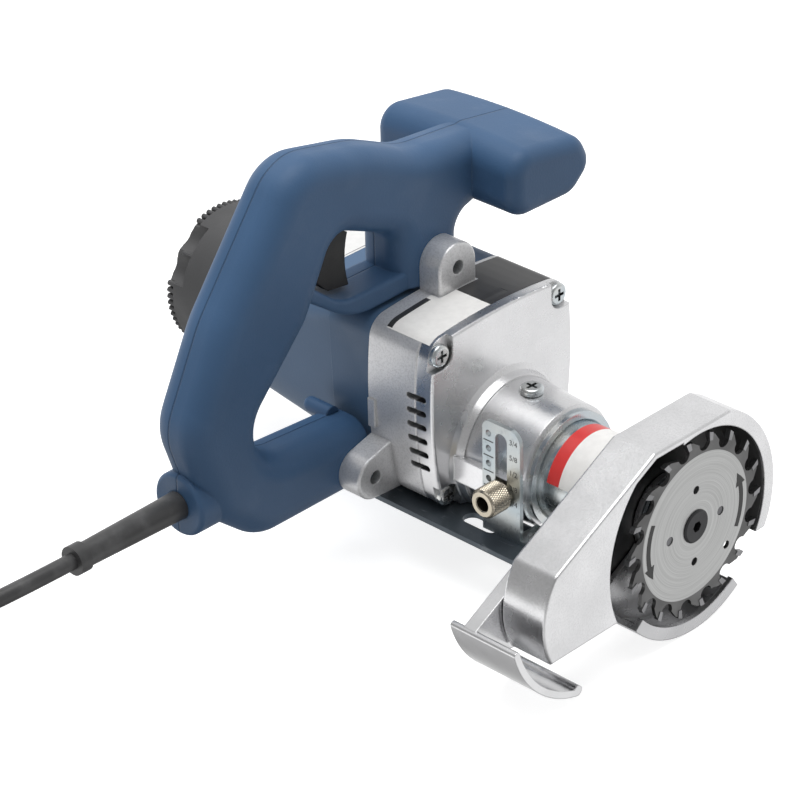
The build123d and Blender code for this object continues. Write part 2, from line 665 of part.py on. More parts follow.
blade_screw = turned([
    (BLADE_FACE_X - BLADE_SCREW_LENGTH, 0),
    (BLADE_FACE_X - BLADE_SCREW_LENGTH, BLADE_SCREW_SHANK),
    (BLADE_FACE_X, BLADE_SCREW_SHANK),
    (BLADE_FACE_X, BLADE_SCREW_HEAD),
    (BLADE_FACE_X + BLADE_SCREW_HEIGHT * 0.5, BLADE_SCREW_HEAD),
    (BLADE_FACE_X + BLADE_SCREW_HEIGHT, BLADE_SCREW_HEAD - 0.8),
    (BLADE_FACE_X + BLADE_SCREW_HEIGHT, 0),
])
blade_screw -= slab(RegularPolygon(2.6, 6), BLADE_FACE_X - 3, BLADE_FACE_X + BLADE_SCREW_HEIGHT)
save("blade_screw", blade_screw)

# Lower guard: swings about the bearing boss of the head

guard_back_x = inner_x + 0.5
web_front_x = guard_back_x + GUARD_WEB
guard_wall = sector(GUARD_OUTER - GUARD_WALL, GUARD_OUTER, GUARD_FROM, GUARD_TO)
lower_guard = slab(guard_wall, guard_back_x, HEAD_FRONT_X)
tail_front_x = HEAD_FRONT_X - GUARD_TAIL_SETBACK
tail_wall = sector(GUARD_OUTER - GUARD_WALL, GUARD_OUTER, GUARD_TAIL_FROM, GUARD_FROM)
lower_guard += slab(tail_wall, guard_back_x, tail_front_x)
rim = sector(GUARD_INNER, GUARD_OUTER, GUARD_FROM, GUARD_TO)
lower_guard += slab(rim, HEAD_FRONT_X - GUARD_RIM, HEAD_FRONT_X)
web = sector(HEAD_BOSS, GUARD_OUTER, GUARD_TAIL_FROM, GUARD_TO) + Circle(GUARD_HUB)
lower_guard += slab(web - Circle(HEAD_BOSS + FIT), guard_back_x, web_front_x)
lower_guard -= rod(guard_back_x, web_front_x, HEAD_BOSS + FIT)
save("lower_guard", lower_guard)
ring_x = web_front_x + GAP
save("guard_retaining_ring", ring(ring_x, ring_x + 1.2, HEAD_BOSS + 3, HEAD_BOSS + FIT))

SPRING_WIRE = 0.6
SPRING_TURNS = 2.5
spring_x = ring_x + 1.2 + GAP + SPRING_WIRE
spring_radius = HEAD_BOSS + SPRING_WIRE + GAP


def guard_spring_at(turns):
    """Point of the guard spring's wire."""
    y, z = polar(spring_radius, 360 * turns)
    return Vector(spring_x + turns * 1.7, y, z + AXIS_Z)


spring_edges = wound(guard_spring_at, 0, SPRING_TURNS)
print("guard spring gap", round(own_gap(spring_edges, SPRING_TURNS, SPRING_WIRE), 2))
save("guard_spring", tube(spring_edges, SPRING_WIRE))

# Guard lever: disc on the neck, an arm, and a rocker shoe under the tail

lever_front_x = HEAD_REAR_X - GAP
lever_back_x = lever_front_x - LEVER_PLATE
arm = rounded((-25, 36, 12), (-112, -9, 1.5), (-104, -24, 3), (-70, -30, 20), (-14, -28, 8))
lever_face = Circle(LEVER_DISC) + arm - Circle(SLEEVE_RADIUS + SLIP)
guard_lever = slab(lever_face, lever_back_x, lever_front_x)
shoe_front_x = HEAD_FRONT_X - 1
shoe_back_x = shoe_front_x - SHOE_WIDTH
shoe_curve = ThreePointArc((-112.5, -9), (-101.5, -30.5), (-74, -48))
shoe_centre = shoe_curve.arc_center
shrink = 1 - SHOE_THICKNESS / shoe_curve.radius
inside_points = [shoe_centre + (shoe_curve @ share - shoe_centre) * shrink for share in (0, 0.5, 1)]
shoe_inside = ThreePointArc(*inside_points)
shoe_face = make_face([
    shoe_curve,
    Line(shoe_curve @ 1, shoe_inside @ 1),
    shoe_inside,
    Line(shoe_inside @ 0, shoe_curve @ 0),
])
shoe_face = fillet(shoe_face.vertices(), SHOE_THICKNESS * 0.4)
lip_spot = (shoe_inside @ 1 + shoe_curve @ 1) * 0.5 + Vector(0, SHOE_LIP - SHOE_THICKNESS / 2)
shoe_face += Pos(lip_spot.X, lip_spot.Y) * Circle(SHOE_LIP)
guard_lever += slab(shoe_face, shoe_back_x, shoe_front_x)
save("guard_lever", guard_lever)
collar_x = lever_back_x - GAP - LEVER_COLLAR_WIDTH
save("lever_collar", ring(collar_x, collar_x + LEVER_COLLAR_WIDTH, SLEEVE_RADIUS + 3, SLEEVE_RADIUS + FIT))

# Motor housing: square flange behind the case, drawn in to a round barrel

flange_end_x = CASE_REAR_X - FLANGE_LENGTH
housing_end_x = CASE_REAR_X - HOUSING_LENGTH
low_z = CASE_BOTTOM + 1.0
flange_outline = rounded(
    (-HOUSING_HALF_WIDTH, HOUSING_TOP, CASE_CORNER),
    (HOUSING_HALF_WIDTH, HOUSING_TOP, CASE_CORNER),
    (HOUSING_HALF_WIDTH - 3, low_z, HOUSING_LOW_CORNER),
    (3 - HOUSING_HALF_WIDTH, low_z, HOUSING_LOW_CORNER),
)
motor_housing = slab(flange_outline, flange_end_x, CASE_REAR_X)
barrel_end = Pos(0, MOTOR_Z) * RectangleRounded(
    2 * HOUSING_REAR_RADIUS, 2 * HOUSING_REAR_RADIUS, HOUSING_REAR_RADIUS - 1
)
barrel_start = offset(flange_outline, -FLANGE_STEP)
motor_housing += loft([section(housing_end_x) * barrel_end, section(flange_end_x) * barrel_start])
motor_housing -= rod(flange_end_x, CASE_REAR_X, FAN_CHAMBER, 0, MOTOR_Z)
motor_housing -= rod(housing_end_x, flange_end_x, HOUSING_BORE + FIT, 0, MOTOR_Z)
save("motor_housing", motor_housing)

# End cap: ribbed cup with scallops in its rear rim

cap_end_x = housing_end_x - CAP_LENGTH
motor_end_cap = turned([
    (housing_end_x, 0),
    (housing_end_x, CAP_RADIUS),
    (cap_end_x + 6, CAP_RADIUS),
    (cap_end_x + 5, CAP_RADIUS - 2),
    (cap_end_x + 2, CAP_RADIUS - 2),
    (cap_end_x, CAP_RADIUS - 5),
    (cap_end_x, 0),
], 0, MOTOR_Z)
motor_end_cap -= rod(cap_end_x + CAP_WALL + 2, housing_end_x, CAP_RADIUS - 8, 0, MOTOR_Z)
bearing_end_x = cap_end_x + CAP_WALL + 2
motor_end_cap += rod(bearing_end_x, bearing_end_x + 12, MOTOR_BEARING + 3, 0, MOTOR_Z)
rear_bearing_x = bearing_end_x + 12 - MOTOR_BEARING_WIDTH
motor_end_cap -= rod(rear_bearing_x, bearing_end_x + 12, MOTOR_BEARING + FIT, 0, MOTOR_Z)
motor_end_cap -= rod(bearing_end_x, rear_bearing_x, SHAFT_RADIUS + 1, 0, MOTOR_Z)
for turn in CAP_SCOOPS:
    y, z = polar(CAP_RADIUS + 2, turn)
    motor_end_cap -= rod(cap_end_x, cap_end_x + 12, SCOOP_RADIUS, y, z + MOTOR_Z)
cap_teeth = []
for index in range(CAP_TEETH):
    turn = 360 * index / CAP_TEETH
    if min(abs((turn - scoop + 180) % 360 - 180) for scoop in CAP_SCOOPS) > 13:
        y, z = polar(CAP_RADIUS - CAP_TOOTH, turn)
        cap_teeth.append(Pos(y, z + MOTOR_Z) * Circle(CAP_TOOTH))
motor_end_cap += slab(Sketch() + cap_teeth, cap_end_x + 2, cap_end_x + 7)
save("motor_end_cap", motor_end_cap)

# Armature on its shaft

motor_axis = (0, MOTOR_Z)
front_journal_x = CASE_REAR_X + MOTOR_BEARING_WIDTH
nose_x = pinion_x + PINION_WIDTH
armature_shaft = turned([
    (rear_bearing_x + 0.5, 0),
    (rear_bearing_x + 0.5, SHAFT_JOURNAL),
    (rear_bearing_x + MOTOR_BEARING_WIDTH, SHAFT_JOURNAL),
    (rear_bearing_x + MOTOR_BEARING_WIDTH, SHAFT_RADIUS),
    (CASE_REAR_X, SHAFT_RADIUS),
    (CASE_REAR_X, SHAFT_JOURNAL),
    (pinion_x, SHAFT_JOURNAL),
    (pinion_x, SHAFT_NOSE),
    (nose_x, SHAFT_NOSE),
    (nose_x, 0),
], *motor_axis)
save("armature_shaft", armature_shaft)
bearing = ring(CASE_REAR_X, front_journal_x, MOTOR_BEARING, SHAFT_JOURNAL + FIT, *motor_axis)
save("front_motor_bearing", bearing)
bearing = ring(rear_bearing_x, bearing_end_x + 12, MOTOR_BEARING, SHAFT_JOURNAL + FIT, *motor_axis)
save("rear_motor_bearing", bearing)
fan_front_x = CASE_REAR_X - 5
fan_back_x = fan_front_x - 12
fan_hub = 11.0
fan = rod(fan_back_x, fan_back_x + 2, FAN_RADIUS, *motor_axis)
fan += rod(fan_back_x, fan_front_x, fan_hub, *motor_axis)
vanes = []
vane = Pos((FAN_RADIUS + fan_hub - 1) / 2, 0) * Rectangle(FAN_RADIUS - fan_hub + 1, 1.6)
for index in range(FAN_BLADES):
    vanes.append(Pos(*motor_axis) * Rot(0, 0, 360 * index / FAN_BLADES) * vane)
fan += slab(Sketch() + vanes, fan_back_x, fan_front_x)
fan -= rod(fan_back_x, fan_front_x, SHAFT_RADIUS + FIT, *motor_axis)
save("cooling_fan", fan)
core_front_x = fan_back_x - 9
core_back_x = core_front_x - CORE_LENGTH
core_face = Circle(CORE_RADIUS) - Circle(SHAFT_RADIUS + FIT)
for index in range(COMMUTATOR_BARS // 2):
    spot = polar(CORE_RADIUS - 2, 720 * index / COMMUTATOR_BARS)
    core_face -= Pos(*spot) * Rot(0, 0, 720 * index / COMMUTATOR_BARS) * Rectangle(6, 2.2)
save("armature_core", slab(Pos(*motor_axis) * core_face, core_back_x, core_front_x))
comm_front_x = core_back_x - 7
comm_back_x = comm_front_x - COMMUTATOR_LENGTH
comm_face = Circle(COMMUTATOR_RADIUS) - Circle(SHAFT_RADIUS + FIT)
for index in range(COMMUTATOR_BARS):
    turn = 360 * index / COMMUTATOR_BARS
    comm_face -= Rot(0, 0, turn) * Pos(COMMUTATOR_RADIUS, 0) * Rectangle(3, 0.6)
save("commutator", slab(Pos(*motor_axis) * comm_face, comm_back_x, comm_front_x))

# Stator, coils and brush gear, fixed in the housing

pole = 50.0
bore_radius = CORE_RADIUS + AIR_GAP
yoke_inner = HOUSING_BORE - 5.0
stator_face = Circle(HOUSING_BORE) - Circle(yoke_inner)
stator_face += [sector(bore_radius, yoke_inner + 0.5, turn - pole, turn + pole) for turn in (0, 180)]
save("stator_core", slab(Pos(*motor_axis) * stator_face, core_back_x, core_front_x))
coil_half = 90 - pole - 1.0
coils = []
for turn in (90, 270):
    coil_face = sector(bore_radius + 0.5, yoke_inner - SLIP, turn - coil_half, turn + coil_half)
    coils.append(slab(Pos(*motor_axis) * coil_face, core_back_x - 5, core_front_x + 5))
save("field_coils", *coils)
brush_x = (comm_front_x + comm_back_x) / 2
holders = []
brushes = []
for side in (-1, 1):
    outer_y = side * (HOUSING_BORE - 2.4)
    inner_y = side * (COMMUTATOR_RADIUS + 2)
    half_out = BRUSH_SIDE / 2 + HOLDER_WALL
    half_in = BRUSH_SIDE / 2
    low_y, high_y = sorted((outer_y, inner_y))
    outside = (MOTOR_Z - half_out, MOTOR_Z + half_out)
    holder = block(brush_x - half_out, brush_x + half_out, low_y, high_y, *outside)
    holder -= block(brush_x - half_in, brush_x + half_in, low_y, high_y, MOTOR_Z - half_in, MOTOR_Z + half_in)
    cap_y, cap_end_y = sorted((outer_y, outer_y + side * 1.5))
    holder += block(brush_x - half_out, brush_x + half_out, cap_y, cap_end_y, *outside)
    holders.append(holder)
    near_y, far_y = sorted((side * (COMMUTATOR_RADIUS + GAP), side * (COMMUTATOR_RADIUS + 12)))
    half_brush = half_in - SLIP
    low_brush = MOTOR_Z - half_brush
    high_brush = MOTOR_Z + half_brush
    brushes.append(block(brush_x - half_brush, brush_x + half_brush, near_y, far_y, low_brush, high_brush))
save("brush_holders", *holders)
save("carbon_brushes", *brushes)

# Handle: a D-grip on the right and a T-bar on the left, two shells parted across the spindle

handle_back_x = HANDLE_FRONT_X - HANDLE_THICKNESS
post_foot = CASE_TOP + 1.0
bar_end_y = -CASE_HALF_WIDTH - 0.5
grip_outline = rounded(
    (34, 122.9, 0),
    (-6, 126.2, 40),
    (-34, 138.5, 60),
    (-80, 148, 24),
    (-125, 88, 60),
    (-147, 44, 26),
    (-133, 1, 18),
    (-108, -19.5, 24),
    (bar_end_y, -19.5, 0),
    (bar_end_y, 12.5, 0),
    (-127, 18, 17),
    (-75, 73, 30),
    (-57.5, 107.6, 10),
    (-21.5, 92.8, 7),
    (-21.5, post_foot, 0),
    (17, post_foot, 0),
    (17, 87, 8),
    (34, 92.2, 0),
)
grip = slab(grip_outline, handle_back_x, HANDLE_FRONT_X)
flat_ends = []
for edge in grip.edges().filter_by(Plane.YZ):
    middle = edge @ 0.5
    on_post = abs(middle.Z - AXIS_Z - post_foot) < 0.1
    on_bar_end = abs(middle.Y - bar_end_y) < 0.1
    on_tbar = middle.Y > 29.9
    if on_post or on_bar_end or on_tbar:
        flat_ends.append(edge)
soft_edges = [edge for edge in grip.edges().filter_by(Plane.YZ) if edge not in flat_ends]
grip = fillet(soft_edges, HANDLE_EDGE)


def tbar_outline(drop):
    """Cross outline of the T-bar, its sloping top lowered by drop."""
    low = [(75.5, 102.5, 10), (62, 90.5, 12), (22, 91, 11)]
    return rounded((22, 125.3 - drop, 11), (67.5, 118.6 - drop, 11), *low)


tbar_back_x = PARTING_X - TBAR_LENGTH / 2
tbar_front_x = PARTING_X + TBAR_LENGTH / 2
tbar_end = tbar_outline(TBAR_CROWN)
tbar_middle = section(PARTING_X) * tbar_outline(0)
tbar = loft([section(tbar_back_x) * tbar_end, tbar_middle, section(tbar_front_x) * tbar_end])
tbar_rims = tbar.edges().group_by(Axis.X)
tbar = fillet(tbar_rims[0] + tbar_rims[-1], TBAR_END_ROUND)
ledge_outline = rounded(
    (-80, 94, 0), (-56, 74.5, 24), (-9, 74.2, 0), (-9, 65, 0), (-50, 64.2, 40), (-84, 88.5, 0),
)
ledge = slab(ledge_outline, handle_back_x + 4, HANDLE_FRONT_X - 2)
ledge_rims = ledge.edges().group_by(Axis.X)
ledge = fillet(ledge_rims[0] + ledge_rims[-1], LEDGE_LIP)
lug = rod(handle_back_x - 4, PARTING_X, LUG_RADIUS, -50, 12.5)
lug = fillet(lug.edges().group_by(Axis.X)[0], LUG_RADIUS * 0.8)
cord_boss_plane = Plane(origin=(PARTING_X, BOSS_CORD_END, AXIS_Z + CORD_Z), z_dir=(0, 1, 0))
cord_boss = extrude(cord_boss_plane * Circle(BOSS_CORD_RADIUS), amount=26)
cord_boss = fillet(cord_boss.edges().filter_by(GeomType.CIRCLE).sort_by(Axis.Y)[0], 2)
handle = grip + tbar + ledge + lug + cord_boss

# Trigger with its way in the grip, and the switch behind it
press = Vector(*polar(1, TRIGGER_ANGLE))
trigger_half = TRIGGER_WIDTH / 2
trigger_low = (-44, 76.8)
trigger_high = (-44, 101.2)
trigger_face = make_face([
    ThreePointArc(trigger_low, (-45.9, 89), trigger_high),
    Polyline(trigger_high, (-58, 110), (-72.2, 92.6), (-57.5, 78.6), trigger_low),
])
trigger = slab(trigger_face, PARTING_X - trigger_half, PARTING_X + trigger_half)
trigger = fillet(trigger.edges().filter_by(GeomType.CIRCLE), 2)
pressed = Pos(press.X * (TRIGGER_TRAVEL + 1), press.Y * (TRIGGER_TRAVEL + 1)) * trigger_face
way = offset(make_hull([*trigger_face.edges(), *pressed.edges()]), GAP)
handle -= slab(way, PARTING_X - trigger_half - GAP, PARTING_X + trigger_half + GAP)
switch_place = Pos(-81, 106) * Rot(0, 0, TRIGGER_ANGLE - 90)
switch_face = switch_place * Rectangle(26, 15)
switch_half = SWITCH_WIDTH / 2
switch_body = slab(switch_face, PARTING_X - switch_half, PARTING_X + switch_half)
handle -= switch_body
save("switch_body", switch_body)
save("trigger", trigger)

# Cord channel, relief socket and screws in the shells
socket = extrude(cord_boss_plane * Circle(RELIEF_ROOT + FIT), amount=RELIEF_SOCKET)
handle -= socket
handle_screws = []
screw_reach = HANDLE_THICKNESS - 6
for spot in (TOP_EAR, LOW_EAR):
    screw = pan_screw(5.0, 3.0, EAR_HOLE - 0.3, screw_reach + 8)
    seat = facing(handle_back_x + 6, *spot, (-1, 0, 0))
    handle_screws.append(seat * screw)
    handle -= rod(handle_back_x + 6, HANDLE_FRONT_X, EAR_HOLE, *spot)
    handle -= rod(handle_back_x - 1, handle_back_x + 6, 6.0, *spot)
shell_spots = ((-125, 62), (-72, 125))
for spot in shell_spots:
    screw = pan_screw(4.0, 2.4, 1.8, 20)
    handle_screws.append(facing(handle_back_x + 7, *spot, (-1, 0, 0)) * screw)
    handle -= rod(handle_back_x + 7, handle_back_x + 27.5, 1.9, *spot)
    handle -= rod(handle_back_x - 1, handle_back_x + 7, 4.6, *spot)
save("handle_screws", *handle_screws)
handle_reach = 2 * TAIL_LENGTH
handle_box = (-handle_reach, handle_reach, -handle_reach, handle_reach)
front_half = block(PARTING_X, PARTING_X + TBAR_LENGTH, *handle_box)
rear_half = block(PARTING_X - TBAR_LENGTH, PARTING_X, *handle_box)
save("front_handle_shell", handle & front_half)
save("rear_handle_shell", handle & rear_half)

# Base plate with the depth bracket, and the knob that clamps it

plate_rear_x = PLATE_FRONT_X - PLATE_LENGTH
plate_mid_x = (plate_rear_x + PLATE_FRONT_X) / 2
plate_plane = Plane(origin=(plate_mid_x, 0, 0))
plate_face = RectangleRounded(PLATE_LENGTH, PLATE_WIDTH, 4)
plate_face -= Pos(KNOB_X - plate_mid_x - 13.5, BRACKET_FACE_Y + 0.5) * SlotOverall(20, 8.5)
neck_slot_x = sleeve_end_x - 2
plate_face -= Pos(neck_slot_x - plate_mid_x + 50, 0) * Rectangle(100, 2 * (SLEEVE_RADIUS - 2))
base_plate = extrude(plate_plane * plate_face, amount=PLATE_THICKNESS)
plate_top = PLATE_THICKNESS - AXIS_Z
bracket_front_x = KNOB_X + BRACKET_WIDTH / 2
bracket_plane = Plane(origin=(KNOB_X, BRACKET_FACE_Y, AXIS_Z), x_dir=(1, 0, 0), z_dir=(0, -1, 0))
bracket_face = rounded(
    (-BRACKET_WIDTH / 2, plate_top, 0), (BRACKET_WIDTH / 2, plate_top, 0),
    (BRACKET_WIDTH / 2, BRACKET_TOP, 6), (-BRACKET_WIDTH / 2, BRACKET_TOP, 4),
)
slot_bottom = -STUD_RADIUS - 0.7
slot_height = SLOT_TOP - slot_bottom
bracket_face -= Pos(0, slot_bottom + slot_height / 2) * SlotOverall(slot_height, SLOT_WIDTH, rotation=90)
for index in range(5):
    bracket_face -= Pos(-7.2, 27 - 7.4 * index) * Circle(1.5)
depth_bracket = extrude(bracket_plane * bracket_face, amount=BRACKET_THICKNESS)
bracket_left_y = BRACKET_FACE_Y - BRACKET_THICKNESS
foot_top = plate_top + BRACKET_THICKNESS
foot_sides = (bracket_left_y, bracket_left_y + BRACKET_FOOT)
depth_bracket += block(bracket_front_x - 4, bracket_front_x + 10, *foot_sides, plate_top, foot_top)
screw_spot = (bracket_front_x + 5, bracket_left_y + 5)
shank_depth = BRACKET_THICKNESS + PLATE_THICKNESS - 0.4
bracket_screw = facing(*screw_spot, foot_top, (0, 0, 1)) * pan_screw(3.8, 2.4, SCREW_RADIUS, shank_depth)
screw_bore = facing(*screw_spot, plate_top, (0, 0, 1)) * Cylinder(SCREW_RADIUS + SLIP, 20)
save("base_plate", base_plate - screw_bore)
save("depth_bracket", depth_bracket - screw_bore)
save("bracket_screw", bracket_screw)
knob_plane = Plane(origin=(KNOB_X, bracket_left_y - SLIP, AXIS_Z), x_dir=(1, 0, 0), z_dir=(0, -1, 0))
knob_edges = []
for index in range(KNOB_RIDGES * 2):
    radius = KNOB_RADIUS if index % 2 else KNOB_RADIUS - 0.5
    knob_edges.append(polar(radius, 180 * index / KNOB_RIDGES))
knob_body = extrude(knob_plane * make_face(Polyline(*knob_edges, close=True)), amount=KNOB_LENGTH)
knob_body -= extrude(knob_plane.offset(KNOB_LENGTH - 6) * RegularPolygon(3.2, 6), amount=6)
stud_length = BRACKET_THICKNESS + 8
stud = extrude(knob_plane.offset(-stud_length) * Circle(STUD_RADIUS), amount=stud_length)
save("depth_knob", knob_body + stud)

# Cord: tapered relief, free stretch, put-away coil, tail and plug

relief_place = Plane(origin=(PARTING_X, BOSS_CORD_END, AXIS_Z + CORD_Z), z_dir=(0, -1, 0))
from_base = (Align.CENTER, Align.CENTER, Align.MIN)
relief_body = extrude(relief_place.offset(-RELIEF_SOCKET) * Circle(RELIEF_ROOT), amount=RELIEF_SOCKET + 2)
relief_body += relief_place.offset(2) * Cone(RELIEF_ROOT, RELIEF_TIP, RELIEF_LENGTH - 2, align=from_base)
relief_collar = Cylinder(RELIEF_COLLAR, COLLAR_WIDTH, align=from_base)
relief_body += relief_place.offset(RELIEF_LENGTH - COLLAR_WIDTH) * relief_collar
save("strain_relief", relief_body)

exit_y = BOSS_CORD_END - RELIEF_LENGTH
cord_floor = FLOOR_Z + CORD_RADIUS + TIE_THICKNESS + GAP
coil_x = PARTING_X - 60
coil_y = exit_y - 199


def coil_at(turns):
    """Point of the coil: in along the floor layer, up a layer in half a turn, then out again."""
    past = turns - COIL_TURNS
    radius = COIL_INNER + COIL_PITCH * abs(past)
    share = min(max(past / 0.5 + 0.5, 0), 1)
    height = COIL_PITCH * (1 - math.cos(math.pi * share)) / 2
    x, y = polar(radius, -360 * turns)
    return Vector(coil_x + x, coil_y + y, AXIS_Z + cord_floor + height)


all_turns = 2 * COIL_TURNS
lead_in = coil_at(0)
lead_dir = (coil_at(1e-4) - coil_at(-1e-4)).normalized()
coil_edges = [Line(lead_in - lead_dir * 2 * CORD_RADIUS, lead_in)]
turn_edges = wound(coil_at, 0, all_turns)
print("cord coil gap", round(own_gap(turn_edges, all_turns, CORD_RADIUS), 2))
coil_edges += turn_edges
lead_out = coil_at(all_turns)
out_dir = (coil_at(all_turns + 1e-4) - coil_at(all_turns - 1e-4)).normalized()
coil_edges.append(Line(lead_out, lead_out + out_dir * 2 * CORD_RADIUS))
cord_coil = tube(coil_edges, CORD_RADIUS)
save("cord_coil", cord_coil)
coil_length = sum(edge.length for edge in coil_edges)

coil_entry = lead_in - lead_dir * 2 * CORD_RADIUS
coil_leave = lead_out + out_dir * 2 * CORD_RADIUS


def laid(points):
    """Cord tube through chosen points, each corner as round as its runs allow."""
    radii = []
    for before, here, after in zip(points, points[1:], points[2:]):
        turn = math.radians((here - before).get_angle(after - here))
        shorter = min((here - before).length, (after - here).length)
        radii.append(0.45 * shorter / math.tan(turn / 2))
    print("cord radii", [round(radius) for radius in radii])
    path = FilletPolyline(*points, radius=radii)
    solid = tube(path.edges(), CORD_RADIUS)
    share = solid.volume / (math.pi * CORD_RADIUS**2 * path.length)
    print("cord length", round(path.length), "volume share", round(share, 4))
    return solid, path.length


high = AXIS_Z + CORD_Z
supply_points = [
    Vector(PARTING_X, exit_y, high),
    Vector(PARTING_X, exit_y - 26, high),
    Vector(PARTING_X - 6, exit_y - 61, high - 3),
    Vector(PARTING_X - 12, exit_y - 96, high - 16),
    Vector(PARTING_X - 13, exit_y - 131, high - 40),
    coil_entry - lead_dir * 30,
    coil_entry,
]
supply_cord, supply_length = laid(supply_points)
save("supply_cord", supply_cord)
tail_start = coil_leave
plug_z = AXIS_Z + FLOOR_Z + PLUG_RADIUS
tail_points = [
    tail_start,
    tail_start + out_dir * 30,
    Vector(tail_start.X + 6, tail_start.Y - 66, plug_z),
    Vector(tail_start.X + 22, tail_start.Y - 96, plug_z),
]
cord_tail, tail_length = laid(tail_points)
save("cord_tail", cord_tail)
print("coil length", round(coil_length), "whole cord", round(supply_length + coil_length + tail_length))

# Tie round all the turns of the coil
tie_inner = math.sqrt(COIL_INNER**2 - TIE_WIDTH**2 / 4) - CORD_RADIUS - GAP
tie_outer = COIL_INNER + COIL_PITCH * (COIL_TURNS - 0.5) + CORD_RADIUS + GAP
tie_low = AXIS_Z + cord_floor - CORD_RADIUS - GAP
tie_high = AXIS_Z + cord_floor + COIL_PITCH + CORD_RADIUS + GAP
tie_plane = Plane(origin=(coil_x, coil_y, 0), x_dir=(-1, 0, 0), z_dir=(0, 1, 0))
tie_size = (tie_outer - tie_inner, tie_high - tie_low)
tie_face = RectangleRounded(tie_size[0] + 2 * TIE_THICKNESS, tie_size[1] + 2 * TIE_THICKNESS, 4)
tie_face -= RectangleRounded(*tie_size, 4 - TIE_THICKNESS)
tie_spot = Pos((tie_inner + tie_outer) / 2, (tie_low + tie_high) / 2)
save("cord_tie", extrude(tie_plane * (tie_spot * tie_face), amount=TIE_WIDTH / 2, both=True))

# Plug with two flat blades, lying on the floor
plug_dir = (tail_points[-1] - tail_points[-2]).normalized()
plug_plane = Plane(origin=tail_points[-1], x_dir=Vector(0, 0, 1).cross(plug_dir), z_dir=plug_dir)
plug_body = plug_plane * Cylinder(6.5, 12, align=from_base)
plug_body += plug_plane.offset(8) * Cone(8, PLUG_RADIUS, 14, align=from_base)
plug_body += plug_plane.offset(22) * Cylinder(PLUG_RADIUS, PLUG_LENGTH - 22, align=from_base)
save("plug_body", plug_body)
plug_blades = []
for side in (-6.35, 6.35):
    plug_blades.append(plug_plane.offset(PLUG_LENGTH) * Pos(side, 0, 0) * Box(1.5, 6.3, 16, align=from_base))
save("plug_blades", *plug_blades)
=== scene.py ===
"""Studio scene of a toe-kick saw: finishes, printed bands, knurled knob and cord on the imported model."""
import logging
import math
from dataclasses import dataclass
from enum import Enum

import bmesh
import bpy
from mathutils import Matrix, Vector
from mathutils.bvhtree import BVHTree


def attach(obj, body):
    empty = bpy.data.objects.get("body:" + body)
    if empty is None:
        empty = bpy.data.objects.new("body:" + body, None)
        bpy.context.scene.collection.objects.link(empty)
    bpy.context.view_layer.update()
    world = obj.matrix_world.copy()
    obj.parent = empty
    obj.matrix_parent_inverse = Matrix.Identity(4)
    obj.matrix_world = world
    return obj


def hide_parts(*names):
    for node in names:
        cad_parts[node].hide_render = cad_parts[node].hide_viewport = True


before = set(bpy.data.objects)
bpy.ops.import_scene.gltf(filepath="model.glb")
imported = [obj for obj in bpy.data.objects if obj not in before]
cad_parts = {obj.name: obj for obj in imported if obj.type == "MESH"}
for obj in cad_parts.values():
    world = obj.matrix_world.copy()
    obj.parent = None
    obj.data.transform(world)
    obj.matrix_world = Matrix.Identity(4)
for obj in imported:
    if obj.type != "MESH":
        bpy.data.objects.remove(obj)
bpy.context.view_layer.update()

LOG = logging.getLogger("toe_kick_saw")
MM = 0.001

Colour = tuple[float, float, float]
Point = tuple[float, float, float]
Field = tuple[float, float, float, float]

# Stations shared with the solids, in millimetres
AXIS_Z = 23.8
PARTING_X = -45.0
BLADE_FACE_X = 118.0
SLEEVE_RADIUS = 22.5
FLOOR_Z = AXIS_Z - 51.0

# Height of printed film, of ink on it and of the gap under both, in millimetres
FILM = 0.12
INK = 0.16
FILM_GAP = 0.02

# Width of the soft edge of a printed field or of a field of painted shade, in millimetres
SOFT_EDGE = 0.2

# Points nearer than this are one point, in metres
MERGE_DISTANCE = 1e-7


def mm(x: float, y: float, z: float) -> Vector:
    """Point in metres from millimetres."""
    return Vector((x, y, z)) * MM


def rgba(colour: Colour) -> tuple[float, float, float, float]:
    """Colour with full alpha."""
    return (*colour, 1.0)


def shaded(colour: Colour, factor: float) -> Colour:
    """Colour made darker or lighter by a factor."""
    return tuple(channel * factor for channel in colour)


def about_spindle(x: float, radius: float, angle: float) -> Vector:
    """Point in metres from a station and a radius in millimetres and an angle in degrees."""
    turn = math.radians(angle)
    return mm(x, radius * math.cos(turn), AXIS_Z + radius * math.sin(turn))


def steps(start: float, end: float, count: int) -> list[float]:
    """Evenly spaced values from start to end, both included."""
    return [start + (end - start) * index / count for index in range(count + 1)]


